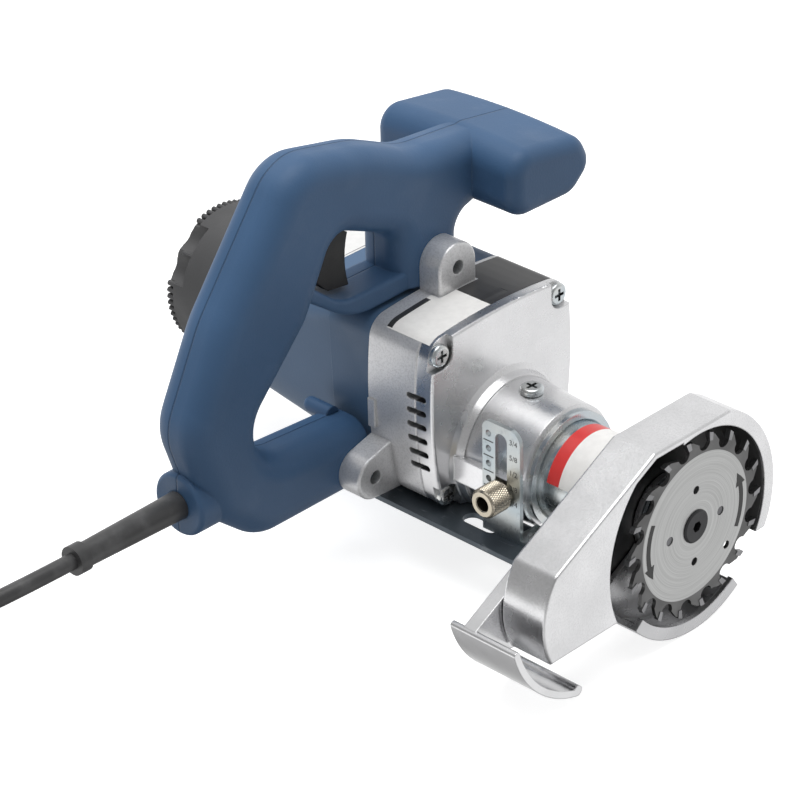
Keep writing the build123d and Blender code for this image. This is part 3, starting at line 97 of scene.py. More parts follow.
class Wire:
    """Output socket of a node, with arithmetic that adds Math nodes to its tree."""

    def __init__(self, graph: "Graph", socket: bpy.types.NodeSocket) -> None:
        """Hold a socket and the tree that it is in."""
        self.graph = graph
        self.socket = socket

    def math(self, operation: str, *others: "Wire | float", swapped: bool = False) -> "Wire":
        """Add one Math node.

        Args:
            operation: The Math node's operation.
            others: Values or wires of the other operands.
            swapped: True to take the first other operand before this wire.

        Returns:
            The wire of the result.
        """
        operands = [self, *others]
        if swapped:
            operands[0], operands[1] = operands[1], operands[0]
        return self.graph.value("ShaderNodeMath", {"operation": operation}, dict(enumerate(operands)))

    def __add__(self, other: "Wire | float") -> "Wire":
        """Sum."""
        return self.math("ADD", other)

    __radd__ = __add__

    def __sub__(self, other: "Wire | float") -> "Wire":
        """Difference."""
        return self.math("SUBTRACT", other)

    def __rsub__(self, other: float) -> "Wire":
        """Difference from a number."""
        return self.math("SUBTRACT", other, swapped=True)

    def __mul__(self, other: "Wire | float") -> "Wire":
        """Product."""
        return self.math("MULTIPLY", other)

    __rmul__ = __mul__

    def __truediv__(self, other: "Wire | float") -> "Wire":
        """Quotient."""
        return self.math("DIVIDE", other)

    def __abs__(self) -> "Wire":
        """Absolute value."""
        return self.math("ABSOLUTE")

    def smooth(self, low: float, high: float) -> "Wire":
        """Soft step from 0 at low to 1 at high."""
        inputs = {"Value": self, "From Min": low, "From Max": high}
        return self.graph.value("ShaderNodeMapRange", {"interpolation_type": "SMOOTHSTEP"}, inputs)


class Graph:
    """Node tree with one method that makes every kind of node."""

    def __init__(self, tree: bpy.types.NodeTree) -> None:
        """Hold the tree."""
        self.tree = tree

    def node(self, kind: str, settings: dict | None = None, inputs: dict | None = None) -> bpy.types.Node:
        """Add a node.

        Args:
            kind: The node's type.
            settings: Properties, set before the sockets.
            inputs: Values or wires by socket name or number.

        Returns:
            The new node.
        """
        made = self.tree.nodes.new(kind)
        for key, value in (settings or {}).items():
            setattr(made, key, value)
        for key, value in (inputs or {}).items():
            self.feed(made.inputs[key], value)
        return made

    def feed(self, socket: bpy.types.NodeSocket, value: object) -> None:
        """Link a wire to a socket, or set the socket's value.

        Args:
            socket: The socket.
            value: The wire or the value.
        """
        if isinstance(value, Wire):
            self.tree.links.new(value.socket, socket)
        else:
            socket.default_value = value

    def wire(self, node: bpy.types.Node, output: int | str = 0) -> Wire:
        """Wire from one output of a node."""
        return Wire(self, node.outputs[output])

    def value(
        self, kind: str, settings: dict | None = None, inputs: dict | None = None, output: int | str = 0
    ) -> Wire:
        """Wire from one output of a new node."""
        return self.wire(self.node(kind, settings, inputs), output)


class Shader(Graph):
    """Material whose surface is one Principled shader."""

    corner_rays: int = 8
    corner_from: float = 0.22
    corner_to: float = 0.80
    edge_rays: int = 4

    def __init__(self, name: str) -> None:
        """Start an empty material.

        Args:
            name: The material's name.
        """
        self.material = bpy.data.materials.new(name)
        self.material.use_nodes = True
        super().__init__(self.material.node_tree)
        self.surface = self.tree.nodes["Principled BSDF"]
        self.place = self.value("ShaderNodeTexCoord", output="Object")

    def axes(self) -> tuple[Wire, Wire, Wire]:
        """Object coordinates as three wires, in metres."""
        split = self.node("ShaderNodeSeparateXYZ", None, {0: self.place})
        return tuple(self.wire(split, index) for index in range(3))

    def stretched(self, factors: Point) -> Wire:
        """Object coordinates scaled along each axis."""
        return self.value("ShaderNodeVectorMath", {"operation": "MULTIPLY"}, {0: self.place, 1: factors})

    def vector(self, x: Wire, y: Wire, z: Wire) -> Wire:
        """Vector from three values."""
        return self.value("ShaderNodeCombineXYZ", None, {0: x, 1: y, 2: z})

    def noise(self, scale: float, detail: float = 2.0, vector: Wire | None = None) -> Wire:
        """Noise from 0 to 1 with its features 1/scale across."""
        inputs = {"Vector": vector or self.place, "Scale": scale, "Detail": detail}
        return self.value("ShaderNodeTexNoise", None, inputs)

    def cells(self, scale: float) -> Wire:
        """Distance to the nearest of many scattered points."""
        return self.value("ShaderNodeTexVoronoi", None, {"Vector": self.place, "Scale": scale})

    def corner(self, reach: float) -> Wire:
        """Find how closed in a place is by its own piece, as a mask for painted shade in corners.

        Args:
            reach: How far the search goes, in millimetres.

        Returns:
            The wire of a value from 0 in the open to 1 in a tight corner.
        """
        settings = {"samples": self.corner_rays, "only_local": True}
        bare = self.value("ShaderNodeAmbientOcclusion", settings, {"Distance": reach * MM}, "AO")
        return (1.0 - bare).smooth(self.corner_from, self.corner_to)

    def radius(self) -> Wire:
        """Find the distance from the spindle axis.

        Returns:
            The wire of the distance in metres.
        """
        _, y, z = self.axes()
        lifted = z - AXIS_Z * MM
        return (y * y + lifted * lifted).math("SQRT")

    def mix(self, first: Wire | Colour, second: Wire | Colour, share: Wire | float) -> Wire:
        """Colour between two colours, by the share of the second."""
        ends = [end if isinstance(end, Wire) else rgba(end) for end in (first, second)]
        return self.value("ShaderNodeMix", {"data_type": "RGBA"}, {0: share, 6: ends[0], 7: ends[1]}, 2)

    def finish(
        self, base: Wire, rough: Wire | float, height: Wire, depth: float = 1.0, edge: float = 0.0,
        metallic: Wire | float = 0.0, specular: float = 0.5,
    ) -> None:
        """Set the surface's sockets, its bump and its softened edges.

        Args:
            base: Colour.
            rough: Roughness.
            height: Bump height, in millimetres where the depth is 1.
            depth: Depth of the bump in millimetres.
            edge: Radius of the rounded look of sharp edges in millimetres.
            metallic: Share of bare metal.
            specular: Strength of the gloss.
        """
        sockets = self.surface.inputs
        self.feed(sockets["Base Color"], base)
        self.feed(sockets["Roughness"], rough)
        self.feed(sockets["Metallic"], metallic)
        self.feed(sockets["Specular IOR Level"], specular)
        bump = self.node("ShaderNodeBump", None, {"Height": height, "Distance": depth * MM})
        if edge:
            rounded = self.value("ShaderNodeBevel", {"samples": self.edge_rays}, {"Radius": edge * MM})
            self.feed(bump.inputs["Normal"], rounded)
        self.feed(sockets["Normal"], self.wire(bump))


class Seam(Enum):
    """Where a moulded piece shows a parting line."""

    NONE = "none"
    HANDLE = "handle"


@dataclass(frozen=True)
class Finish:
    """Finish that makes the material of its name. Scales are in features to the metre."""

    name: str

    def build(self) -> bpy.types.Material:
        """Make the material.

        Returns:
            The new material.
        """
        shader = Shader(self.name)
        self.coat(shader)
        return shader.material

    def coat(self, shader: Shader) -> None:
        """Set the surface of the material's shader."""
        raise NotImplementedError


@dataclass(frozen=True)
class MouldedPlastic(Finish):
    """Moulded plastic with a fine stipple, worn a little smoother where it is held."""

    colour: Colour
    worn: Colour
    roughness: float = 0.47
    stipple: float = 0.035
    edge: float = 0.5
    seam: Seam = Seam.NONE
    drift_scale: float = 14.0
    held_scale: float = 45.0
    grain_scale: float = 1500.0
    pit_scale: float = 900.0
    seam_inner: float = 0.15
    seam_outer: float = 0.7
    seam_depth: float = 2.6

    def coat(self, shader: Shader) -> None:
        """Set the surface.

        Args:
            shader: The material's shader.
        """
        drift = shader.noise(self.drift_scale, 3.0)
        held = shader.noise(self.held_scale, 5.0).smooth(0.50, 0.74)
        grain = shader.noise(self.grain_scale)
        pits = shader.cells(self.pit_scale).smooth(0.15, 0.75)
        base = shader.mix(shaded(self.colour, 0.86), self.colour, drift.smooth(0.32, 0.66))
        base = shader.mix(base, self.worn, held * 0.16)
        height = grain * 0.55 + pits * 0.45
        if self.seam is Seam.HANDLE:
            x, _, _ = shader.axes()
            beside = abs(x - PARTING_X * MM)
            groove = 1.0 - beside.smooth(self.seam_inner * MM, self.seam_outer * MM)
            base = shader.mix(base, shaded(self.colour, 0.45), groove * 0.38)
            height = height - groove * self.seam_depth
        rough = self.roughness - held * 0.10 + grain * 0.08
        shader.finish(base, rough, height, self.stipple, self.edge, specular=0.4)


@dataclass(frozen=True)
class CastMetal(Finish):
    """Die casting, polished in soft waves over a faint grain, with painted shade that darkens its corners
    and its round hollow.
    """

    dull: Colour
    bright: Colour
    roughness: float = 0.20
    grain: float = 0.003
    wave: float = 0.03
    reach: float = 7.0
    edge: float = 0.7
    metallic: float = 1.0
    speckle: float = 0.14
    speck_scale: float = 420.0
    speck_from: float = 0.62
    speck_step: float = 0.14
    cloud_scale: float = 32.0
    grain_scale: float = 1300.0
    wave_scale: float = 150.0
    painted_shade_colour: Colour = (0.10, 0.10, 0.10)
    hollow: Point | None = None

    def coat(self, shader: Shader) -> None:
        """Set the surface.

        Args:
            shader: The material's shader.
        """
        cloud = shader.noise(self.cloud_scale, 4.0)
        grain = shader.noise(self.grain_scale, 3.0)
        wave = shader.noise(self.wave_scale)
        specks = shader.noise(self.speck_scale).smooth(self.speck_from, self.speck_from + self.speck_step)
        # Painted shade: the corners, and the round hollow where one is given, are darkened towards a
        # near-black shade colour and made rougher
        shade = shader.corner(self.reach) * 0.75
        if self.hollow:
            shade = shade.math("MAXIMUM", self.inside(shader) * 0.85)
        base = shader.mix(self.dull, self.bright, cloud.smooth(0.30, 0.70))
        base = shader.mix(base, shaded(self.dull, 0.62), specks * self.speckle)
        base = shader.mix(base, self.painted_shade_colour, shade)
        rough = self.roughness + (cloud - 0.5) * 0.10 + (wave - 0.5) * 0.08 + shade * 0.22
        height = grain * self.grain + wave * self.wave
        shader.finish(base, rough, height, edge=self.edge, metallic=self.metallic)

    def inside(self, shader: Shader) -> Wire:
        """Find the round hollow of a casting, where shade is painted, from its radius and two stations in
        millimetres.

        Args:
            shader: The material's shader.

        Returns:
            The wire of a mask that is 1 in the hollow.
        """
        reach, rear, front = (size * MM for size in self.hollow)
        radius = shader.radius()
        x, _, _ = shader.axes()
        along = x.smooth(rear, rear + MM) * (1.0 - x.smooth(front - MM, front))
        return (1.0 - radius.smooth(reach - SOFT_EDGE * MM, reach)) * along


@dataclass(frozen=True)
class PlatedSteel(Finish):
    """Zinc plate over rolled or turned steel, with a faint blue and straw tint and painted shade in its
    corners.
    """

    cool: Colour
    warm: Colour
    roughness: float = 0.24
    lines: Point = (30.0, 2.0, 2.0)
    reach: float = 2.5
    edge: float = 0.25
    tint_scale: float = 40.0
    line_scale: float = 140.0
    line_depth: float = 0.012
    scuff_scale: float = 300.0

    def coat(self, shader: Shader) -> None:
        """Set the surface.

        Args:
            shader: The material's shader.
        """
        tint = shader.noise(self.tint_scale, 3.0)
        lines = shader.noise(self.line_scale, 4.0, shader.stretched(self.lines))
        scuffs = shader.noise(self.scuff_scale, 4.0).smooth(0.60, 0.72)
        base = shader.mix(self.cool, self.warm, tint.smooth(0.38, 0.66))
        base = shader.mix(base, shaded(self.cool, 0.7), scuffs * 0.25)
        # Painted shade: corners and recesses, such as screw recesses and a knob's bore, darkened towards
        # near-black and made rougher
        shade = shader.corner(self.reach)
        base = shader.mix(base, shaded(self.warm, 0.10), shade * 0.85)
        rough = self.roughness + (lines - 0.5) * 0.18 + scuffs * 0.10 + shade * 0.2
        shader.finish(base, rough, lines, self.line_depth, self.edge, metallic=1.0)


@dataclass(frozen=True)
class PaintedPlate(Finish):
    """Thin semi-gloss paint on sheet steel, scuffed in places."""

    colour: Colour
    scuffed: Colour = (0.34, 0.36, 0.38)
    drift_scale: float = 30.0
    peel_scale: float = 700.0
    peel_depth: float = 0.02
    scuff_scale: float = 160.0
    scuff_stretch: Point = (1.0, 4.0, 1.0)
    edge: float = 0.4

    def coat(self, shader: Shader) -> None:
        """Set the surface.

        Args:
            shader: The material's shader.
        """
        drift = shader.noise(self.drift_scale, 3.0)
        peel = shader.noise(self.peel_scale)
        along = shader.stretched(self.scuff_stretch)
        scuffs = shader.noise(self.scuff_scale, 6.0, along).smooth(0.62, 0.72)
        base = shader.mix(self.colour, shaded(self.colour, 1.45), drift.smooth(0.35, 0.7))
        base = shader.mix(base, self.scuffed, scuffs * 0.30)
        rough = 0.30 + drift * 0.10 + scuffs * 0.15
        shader.finish(base, rough, peel, self.peel_depth, self.edge, metallic=0.55)


@dataclass(frozen=True)
class BladeSteel(Finish):
    """Coated blade plate, ground in rings, with a lighter printed disc on its outer face."""

    coating: Colour
    disc: Colour
    disc_radius: float = 34.0
    ring_scale: float = 3600.0
    ring_drift: float = 25.0
    ring_depth: float = 0.012
    cloud_scale: float = 60.0

    def coat(self, shader: Shader) -> None:
        """Set the surface.

        Args:
            shader: The material's shader.
        """
        radius = shader.radius()
        x, y, z = shader.axes()
        place = shader.vector(radius * self.ring_scale, y * self.ring_drift, z * self.ring_drift)
        rings = shader.noise(1.0, 3.0, place)
        cloud = shader.noise(self.cloud_scale, 4.0)
        edge = self.disc_radius * MM
        face = BLADE_FACE_X * MM
        soft = SOFT_EDGE * MM
        outer = x.smooth(face - 2.0 * soft, face - soft)
        printed = (1.0 - radius.smooth(edge - soft, edge)) * outer
        coated = shader.mix(self.coating, shaded(self.coating, 1.5), cloud.smooth(0.3, 0.75))
        plain = shader.mix(self.disc, shaded(self.disc, 0.78), rings.smooth(0.30, 0.70))
        base = shader.mix(coated, plain, printed)
        rough = 0.36 + rings * 0.10 + cloud * 0.06
        shader.finish(base, rough, rings, self.ring_depth, metallic=0.85 - printed * 0.15)


@dataclass(frozen=True)
class BlackRubber(Finish):
    """Soft black cord jacket with a fine matt bloom."""

    colour: Colour
    roughness: float = 0.34
    bloom_scale: float = 90.0
    grain_scale: float = 1800.0
    grain_depth: float = 0.02

    def coat(self, shader: Shader) -> None:
        """Set the surface.

        Args:
            shader: The material's shader.
        """
        bloom = shader.noise(self.bloom_scale, 4.0)
        grain = shader.noise(self.grain_scale)
        base = shader.mix(self.colour, shaded(self.colour, 1.9), bloom.smooth(0.42, 0.8))
        shader.finish(base, self.roughness + bloom * 0.10, grain, self.grain_depth)


@dataclass(frozen=True)
class PrintedFilm(Finish):
    """Thin printed label stock, slightly mottled and dulled at random."""

    colour: Colour
    roughness: float = 0.33
    dusty: Colour = (0.45, 0.44, 0.42)
    mottle_scale: float = 260.0
    mottle_depth: float = 0.01
    dust_scale: float = 900.0

    def coat(self, shader: Shader) -> None:
        """Set the surface.

        Args:
            shader: The material's shader.
        """
        mottle = shader.noise(self.mottle_scale, 3.0)
        dust = shader.noise(self.dust_scale, 3.0).smooth(0.62, 0.76)
        base = shader.mix(shaded(self.colour, 0.95), self.colour, mottle.smooth(0.35, 0.65))
        base = shader.mix(base, self.dusty, dust * 0.06)
        shader.finish(base, self.roughness + dust * 0.2, mottle, self.mottle_depth)


@dataclass(frozen=True)
class PlainMetal(Finish):
    """Machined or wound metal of the works inside, with turned lines and painted shade in its corners."""

    colour: Colour
    roughness: float = 0.35
    metallic: float = 1.0
    lines: Point = (18.0, 1.0, 1.0)
    line_scale: float = 160.0
    line_depth: float = 0.015
    stain_scale: float = 70.0
    reach: float = 3.0

    def coat(self, shader: Shader) -> None:
        """Set the surface.

        Args:
            shader: The material's shader.
        """
        lines = shader.noise(self.line_scale, 3.0, shader.stretched(self.lines))
        stain = shader.noise(self.stain_scale, 3.0)
        base = shader.mix(shaded(self.colour, 0.72), self.colour, stain.smooth(0.3, 0.65))
        # Painted shade: corners darkened towards near-black
        base = shader.mix(base, shaded(self.colour, 0.08), shader.corner(self.reach) * 0.9)
        rough = self.roughness + (lines - 0.5) * 0.2
        shader.finish(base, rough, lines, self.line_depth, metallic=self.metallic)


FINE_SPECKS = {"speck_scale": 1100.0, "speck_from": 0.47}
SLOT_FINISHES: dict[str, Finish] = {
    "cast_metal": CastMetal("polished_casting", (0.72, 0.72, 0.73), (0.84, 0.84, 0.85)),
    "plated_steel": PlatedSteel("zinc_plate", (0.58, 0.64, 0.68), (0.70, 0.70, 0.68)),
    "knurled_steel": PlatedSteel(
        "nickel_knurl", (0.50, 0.45, 0.36), (0.60, 0.54, 0.44), 0.26,
        lines=(2.0, 20.0, 2.0), reach=8.0, edge=0.0,
    ),
    "painted_plate": PaintedPlate("slate_paint", (0.062, 0.076, 0.090)),
    "blade_steel": BladeSteel("blade_coating", (0.13, 0.13, 0.13), (0.64, 0.645, 0.64)),
    "blue_plastic": MouldedPlastic(
        "blue_nylon", (0.049, 0.112, 0.222), (0.078, 0.142, 0.250), edge=1.2, seam=Seam.HANDLE,
    ),
    "dark_plastic": MouldedPlastic(
        "grey_nylon", (0.070, 0.070, 0.072), (0.105, 0.105, 0.108), 0.5, stipple=0.04,
    ),
    "black_rubber": BlackRubber("cord_rubber", (0.044, 0.044, 0.045)),
    "machined_steel": PlainMetal("machined_steel", (0.60, 0.60, 0.62)),
    "lamination": PlainMetal("stacked_sheet", (0.26, 0.26, 0.28), 0.45),
    "copper": PlainMetal("wound_copper", (0.72, 0.36, 0.20), 0.32),
    "contact_metal": PlainMetal("bright_brass", (0.78, 0.62, 0.32), 0.25),
    "carbon": PlainMetal("pressed_carbon", (0.03, 0.03, 0.03), 0.6, metallic=0.1),
}
NODE_FINISHES: dict[str, Finish] = {
    "motor_housing": MouldedPlastic(
        "blue_nylon_housing", (0.075, 0.145, 0.255), (0.10, 0.17, 0.28), 0.42, stipple=0.03,
    ),
    "gear_case": CastMetal(
        "satin_casting", (0.70, 0.70, 0.71), (0.84, 0.84, 0.85), 0.36,
        grain=0.12, wave=0.02, metallic=0.6, speckle=0.26, **FINE_SPECKS,
    ),
    "lower_guard": CastMetal("guard_casting", (0.54, 0.54, 0.55), (0.64, 0.64, 0.65), 0.28),
    "nose_cover": CastMetal(
        "cover_casting", (0.76, 0.76, 0.77), (0.86, 0.86, 0.87), 0.28,
        grain=0.006, speckle=0.08, **FINE_SPECKS,
    ),
    "head_casting": CastMetal(
        "head_polish", (0.76, 0.76, 0.77), (0.88, 0.88, 0.89), 0.26,
        grain=0.012, speckle=0.12, hollow=(45.2, 96.8, 118.2), **FINE_SPECKS,
    ),
    "depth_bracket": PlatedSteel("bracket_zinc", (0.47, 0.53, 0.56), (0.57, 0.59, 0.58), 0.30),
    "trigger": MouldedPlastic(
        "trigger_nylon", (0.012, 0.012, 0.013), (0.03, 0.03, 0.03), 0.42, stipple=0.03,
    ),
    "carbide_tips": PlainMetal("carbide", (0.34, 0.34, 0.35), 0.38),
    "blade_screw": PlainMetal("black_oxide", (0.055, 0.055, 0.058), 0.42, metallic=0.8),
    "spindle": PlainMetal("spindle_steel", (0.45, 0.45, 0.46)),
    "drive_pins": PlainMetal("pin_steel", (0.20, 0.20, 0.21)),
    "blade_flange": PlainMetal("flange_steel", (0.40, 0.40, 0.42)),
}


def dress_nodes() -> dict[str, bpy.types.Material]:
    """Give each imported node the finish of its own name, or else of its slot.

    Returns:
        The built materials by slot.
    """
    built = {slot: finish.build() for slot, finish in SLOT_FINISHES.items()}
    own = {node: finish.build() for node, finish in NODE_FINISHES.items()}
    for name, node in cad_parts.items():
        slot = node.data.materials[0].name.split(".")[0]
        finish = own.get(name) or built[slot]
        for index in range(len(node.material_slots)):
            node.material_slots[index].material = finish
        LOG.info("%s wears %s", name, finish.name)
    return built


def new_object(name: str, data: bpy.types.ID) -> bpy.types.Object:
    """Put an object in the scene.

    Args:
        name: The object's name.
        data: Its mesh, curve, light or camera.

    Returns:
        The new object.
    """
    made = bpy.data.objects.new(name, data)
    bpy.context.scene.collection.objects.link(made)
    return made


def new_piece(name: str, mesh: bpy.types.Mesh, body: str) -> bpy.types.Object:
    """Link a finished mesh as a piece of the object.

    Args:
        name: The piece's name.
        mesh: Its mesh, already in place.
        body: The body that it rides on.

    Returns:
        The new object.
    """
    piece = new_object(name, mesh)
    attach(piece, body)
    LOG.info("%s: %d faces on %s", name, len(mesh.polygons), body)
    return piece


def mesh_from(shape: bmesh.types.BMesh, name: str, *finishes: bpy.types.Material) -> bpy.types.Mesh:
    """Turn a bmesh into a mesh with outward normals.

    Args:
        shape: The bmesh, which is freed.
        name: The name of the new mesh.
        finishes: Its materials.

    Returns:
        The new mesh.
    """
    bmesh.ops.remove_doubles(shape, verts=shape.verts, dist=MERGE_DISTANCE)
    bmesh.ops.recalc_face_normals(shape, faces=shape.faces)
    mesh = bpy.data.meshes.new(name)
    shape.to_mesh(mesh)
    shape.free()
    for finish in finishes:
        mesh.materials.append(finish)
    return mesh


def shown_mesh(holder: bpy.types.Object) -> bpy.types.Mesh:
    """Plain mesh of what an object shows."""
    evaluated = holder.evaluated_get(bpy.context.evaluated_depsgraph_get())
    return bpy.data.meshes.new_from_object(evaluated)


def sheet_grid(shape: bmesh.types.BMesh, rows: list[list[Vector]], finish: int = 0) -> None:
    """Add a grid of faces through rows of points, open at its edges.

    Args:
        shape: The bmesh that takes the faces.
        rows: The points.
        finish: The number of the faces' material.
    """
    corners = [[shape.verts.new(point) for point in row] for row in rows]
    for row, following in zip(corners, corners[1:]):
        for index in range(len(row) - 1):
            ring = (row[index], row[index + 1], following[index + 1], following[index])
            shape.faces.new(ring).material_index = finish


def thick_sheet(
    shape: bmesh.types.BMesh, rows: list[list[tuple[Vector, Vector]]], finish: int = 0
) -> None:
    """Add a closed thin sheet.

    Args:
        shape: The bmesh that takes the sheet.
        rows: Rows of (under, upper) points.
        finish: The number of the sheet's material.
    """
    low = [[under for under, _ in row] for row in rows]
    high = [[upper for _, upper in row] for row in rows]
    sheet_grid(shape, low, finish)
    sheet_grid(shape, high, finish)
    rims = [(low[0], high[0]), (low[-1], high[-1])]
    for side in (0, -1):
        rims.append(([row[side] for row in low], [row[side] for row in high]))
    for under, upper in rims:
        sheet_grid(shape, [under, upper], finish)


class Surface:
    """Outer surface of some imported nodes, for laying thin film on it."""

    above: float = 200.0
    rows: int = 8
    columns: int = 24

    def __init__(self, *nodes: str) -> None:
        """Read the nodes' triangles.

        Args:
            nodes: The nodes' names.
        """
        points = []
        faces = []
        for node in nodes:
            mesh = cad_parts[node].data
            mesh.calc_loop_triangles()
            start = len(points)
            points += [vertex.co.copy() for vertex in mesh.vertices]
            for triangle in mesh.loop_triangles:
                faces.append(tuple(start + corner for corner in triangle.vertices))
        self.tree = BVHTree.FromPolygons(points, faces)

    def under(self, x: float, y: float) -> Vector:
        """Point of the surface straight below a high place given in millimetres."""
        spot, _, _, _ = self.tree.ray_cast(mm(x, y, self.above), Vector((0, 0, -1)))
        return spot

    def lay(self, shape: bmesh.types.BMesh, field: Field, film: float, finish: int) -> None:
        """Add a thin sheet that follows the surface.

        Args:
            shape: The shape that takes the sheet.
            field: Rear, front, right and left edges in millimetres.
            film: The sheet's height in millimetres.
            finish: The number of its material.
        """
        rear, front, right, left = field
        rows = []
        for x in steps(rear, front, self.rows):
            row = []
            for y in steps(right, left, self.columns):
                spot = self.under(x, y)
                row.append((spot + mm(0, 0, FILM_GAP), spot + mm(0, 0, film)))
            rows.append(row)
        thick_sheet(shape, rows, finish)


class Growth(Graph):
    """Geometry Nodes tree with named inputs, run once and turned into a plain mesh."""

    def __init__(self, name: str) -> None:
        """Start an empty tree with one geometry output.

        Args:
            name: The tree's name.
        """
        super().__init__(bpy.data.node_groups.new(name, "GeometryNodeTree"))
        self.tree.interface.new_socket("Geometry", in_out="OUTPUT", socket_type="NodeSocketGeometry")
        self.start = self.node("NodeGroupInput")
        self.end = self.node("NodeGroupOutput")
        self.values: dict[str, object] = {}

    def entry(self, name: str, kind: str, value: object) -> Wire:
        """Add a named input.

        Args:
            name: The input's name.
            kind: The kind of its socket.
            value: Its value for the run.

        Returns:
            The input's wire.
        """
        socket = self.tree.interface.new_socket(name, in_out="INPUT", socket_type=f"NodeSocket{kind}")
        self.values[socket.identifier] = value
        return self.wire(self.start, name)

    def run(self, instances: Wire, finish: bpy.types.Material, name: str) -> bpy.types.Mesh:
        """Realise the instances, set their material and evaluate the tree.

        Args:
            instances: The wire of the instances.
            finish: The material of the result.
            name: The name of the new mesh.

        Returns:
            The plain mesh.
        """
        material = self.entry("Finish", "Material", finish)
        real = self.value("GeometryNodeRealizeInstances", None, {0: instances})
        inputs = {"Geometry": real, "Material": material}
        self.feed(self.end.inputs[0], self.value("GeometryNodeSetMaterial", None, inputs))
        holder = new_object(name, bpy.data.meshes.new(name))
        modifier = holder.modifiers.new("growth", "NODES")
        modifier.node_group = self.tree
        for identifier, value in self.values.items():
            modifier[identifier] = value
        mesh = shown_mesh(holder)
        holder.modifiers.remove(modifier)
        bpy.data.objects.remove(holder)
        mesh.name = name
        return mesh


@dataclass
class NeckBands:
    """Plain red and white film round the front of the neck sleeve."""

    red_from: float = 54.6
    white_from: float = 61.2
    white_to: float = 82.0
    low_angle: float = 166.0
    high_angle: float = 8.0
    rows: int = 4
    columns: int = 60

    def build(self) -> None:
        """Make the two bands as one piece."""
        shape = bmesh.new()
        bands = ((self.red_from, self.white_from), (self.white_from, self.white_to))
        radii = (SLEEVE_RADIUS + FILM_GAP, SLEEVE_RADIUS + FILM)
        angles = steps(self.low_angle, self.high_angle, self.columns)
        for finish, (start, end) in enumerate(bands):
            rows = []
            for x in steps(start, end, self.rows):
                row = [tuple(about_spindle(x, radius, angle) for radius in radii) for angle in angles]
                rows.append(row)
            thick_sheet(shape, rows, finish)
        red = PrintedFilm("red_film", (0.63, 0.042, 0.040)).build()
        white = PrintedFilm("white_film", (0.80, 0.79, 0.77)).build()
        new_piece("neck_bands", mesh_from(shape, "neck_bands", red, white), "tool")


@dataclass
class CaseFilm:
    """Plain white and black film on the top of the gear case."""

    white: Field = (-20.5, 4.6, -40.0, -12.3)
    white_front: Field = (-15.4, 4.6, -12.3, -2.0)
    black: Field = (-15.4, 4.6, -2.0, 12.3)
    black_rear: Field = (-26.0, 4.6, 12.3, 36.5)
    black_strip: Field = (-20.5, -17.7, -39.6, -15.5)

    def build(self) -> None:
        """Make the fields as one piece that follows the curved top."""
        top = Surface("gear_case", "nose_cover")
        shape = bmesh.new()
        fields = ((self.white, 0), (self.white_front, 0), (self.black, 1), (self.black_rear, 1))
        for field, finish in fields:
            top.lay(shape, field, FILM, finish)
        top.lay(shape, self.black_strip, INK, 1)
        white = PrintedFilm("white_case_film", (0.84, 0.83, 0.81)).build()
        black = PrintedFilm("black_case_film", (0.030, 0.030, 0.031), 0.28).build()
        new_piece("case_film", mesh_from(shape, "case_film", white, black), "tool")


@dataclass
class HousingFilm:
    """Plain white film with a thin border line on the top of the motor housing, behind the handle."""

    rear: float = -122.0
    front: float = -78.6
    right: float = -19.0
    left: float = 23.0
    inset: float = 1.2
    line: float = 0.4

    def build(self) -> None:
        """Make the field and its border as one piece."""
        top = Surface("motor_housing")
        shape = bmesh.new()
        top.lay(shape, (self.rear, self.front, self.right, self.left), FILM, 0)
        rear = self.rear + self.inset
        front = self.front - self.inset
        right = self.right + self.inset
        left = self.left - self.inset
        border = (
            (front - self.line, front, right, left),
            (rear, rear + self.line, right, left),
            (rear, front, right, right + self.line),
            (rear, front, left - self.line, left),
        )
        for field in border:
            top.lay(shape, field, INK, 1)
        white = PrintedFilm("white_housing_film", (0.84, 0.83, 0.81)).build()
        line = PrintedFilm("border_ink", (0.05, 0.05, 0.052)).build()
        new_piece("housing_film", mesh_from(shape, "housing_film", white, line), "tool")


@dataclass
class BladeArrows:
    """Two curved arrows on the blade that show which way it turns."""

    radius: float = 30.2
    width: float = 2.6
    spans: tuple[tuple[float, float], ...] = ((-25.0, 14.0), (155.0, 194.0))
    head: float = 6.0
    head_span: float = 13.0
    tip: float = 0.02
    gap: float = 0.01
    ink: float = 0.06
    rows: int = 16

    def build(self) -> None:
        """Make both arrows as one thin piece."""
        shape = bmesh.new()
        for start, end in self.spans:
            thick_sheet(shape, [self.across(angle, self.width) for angle in steps(start, end, self.rows)])
            point = []
            for share in steps(0.0, 1.0, 2):
                width = self.head * (1.0 - share) + self.tip
                point.append(self.across(end + self.head_span * share, width))
            thick_sheet(shape, point)
        ink = PrintedFilm("arrow_ink", (0.012, 0.012, 0.012)).build()
        mesh = mesh_from(shape, "blade_arrows", ink)
        new_piece("blade_arrows", mesh, "spindle_and_blade")

    def across(self, angle: float, width: float) -> list[tuple[Vector, Vector]]:
        """Find a row of points across the arrow.

        Args:
            angle: The row's angle about the spindle axis in degrees.
            width: The arrow's width there in millimetres.

        Returns:
            The row's (under, upper) points in metres.
        """
        radii = (self.radius - width / 2, self.radius + width / 2)
        faces = (BLADE_FACE_X + self.gap, BLADE_FACE_X + self.ink)
        return [tuple(about_spindle(face, radius, angle) for face in faces) for radius in radii]


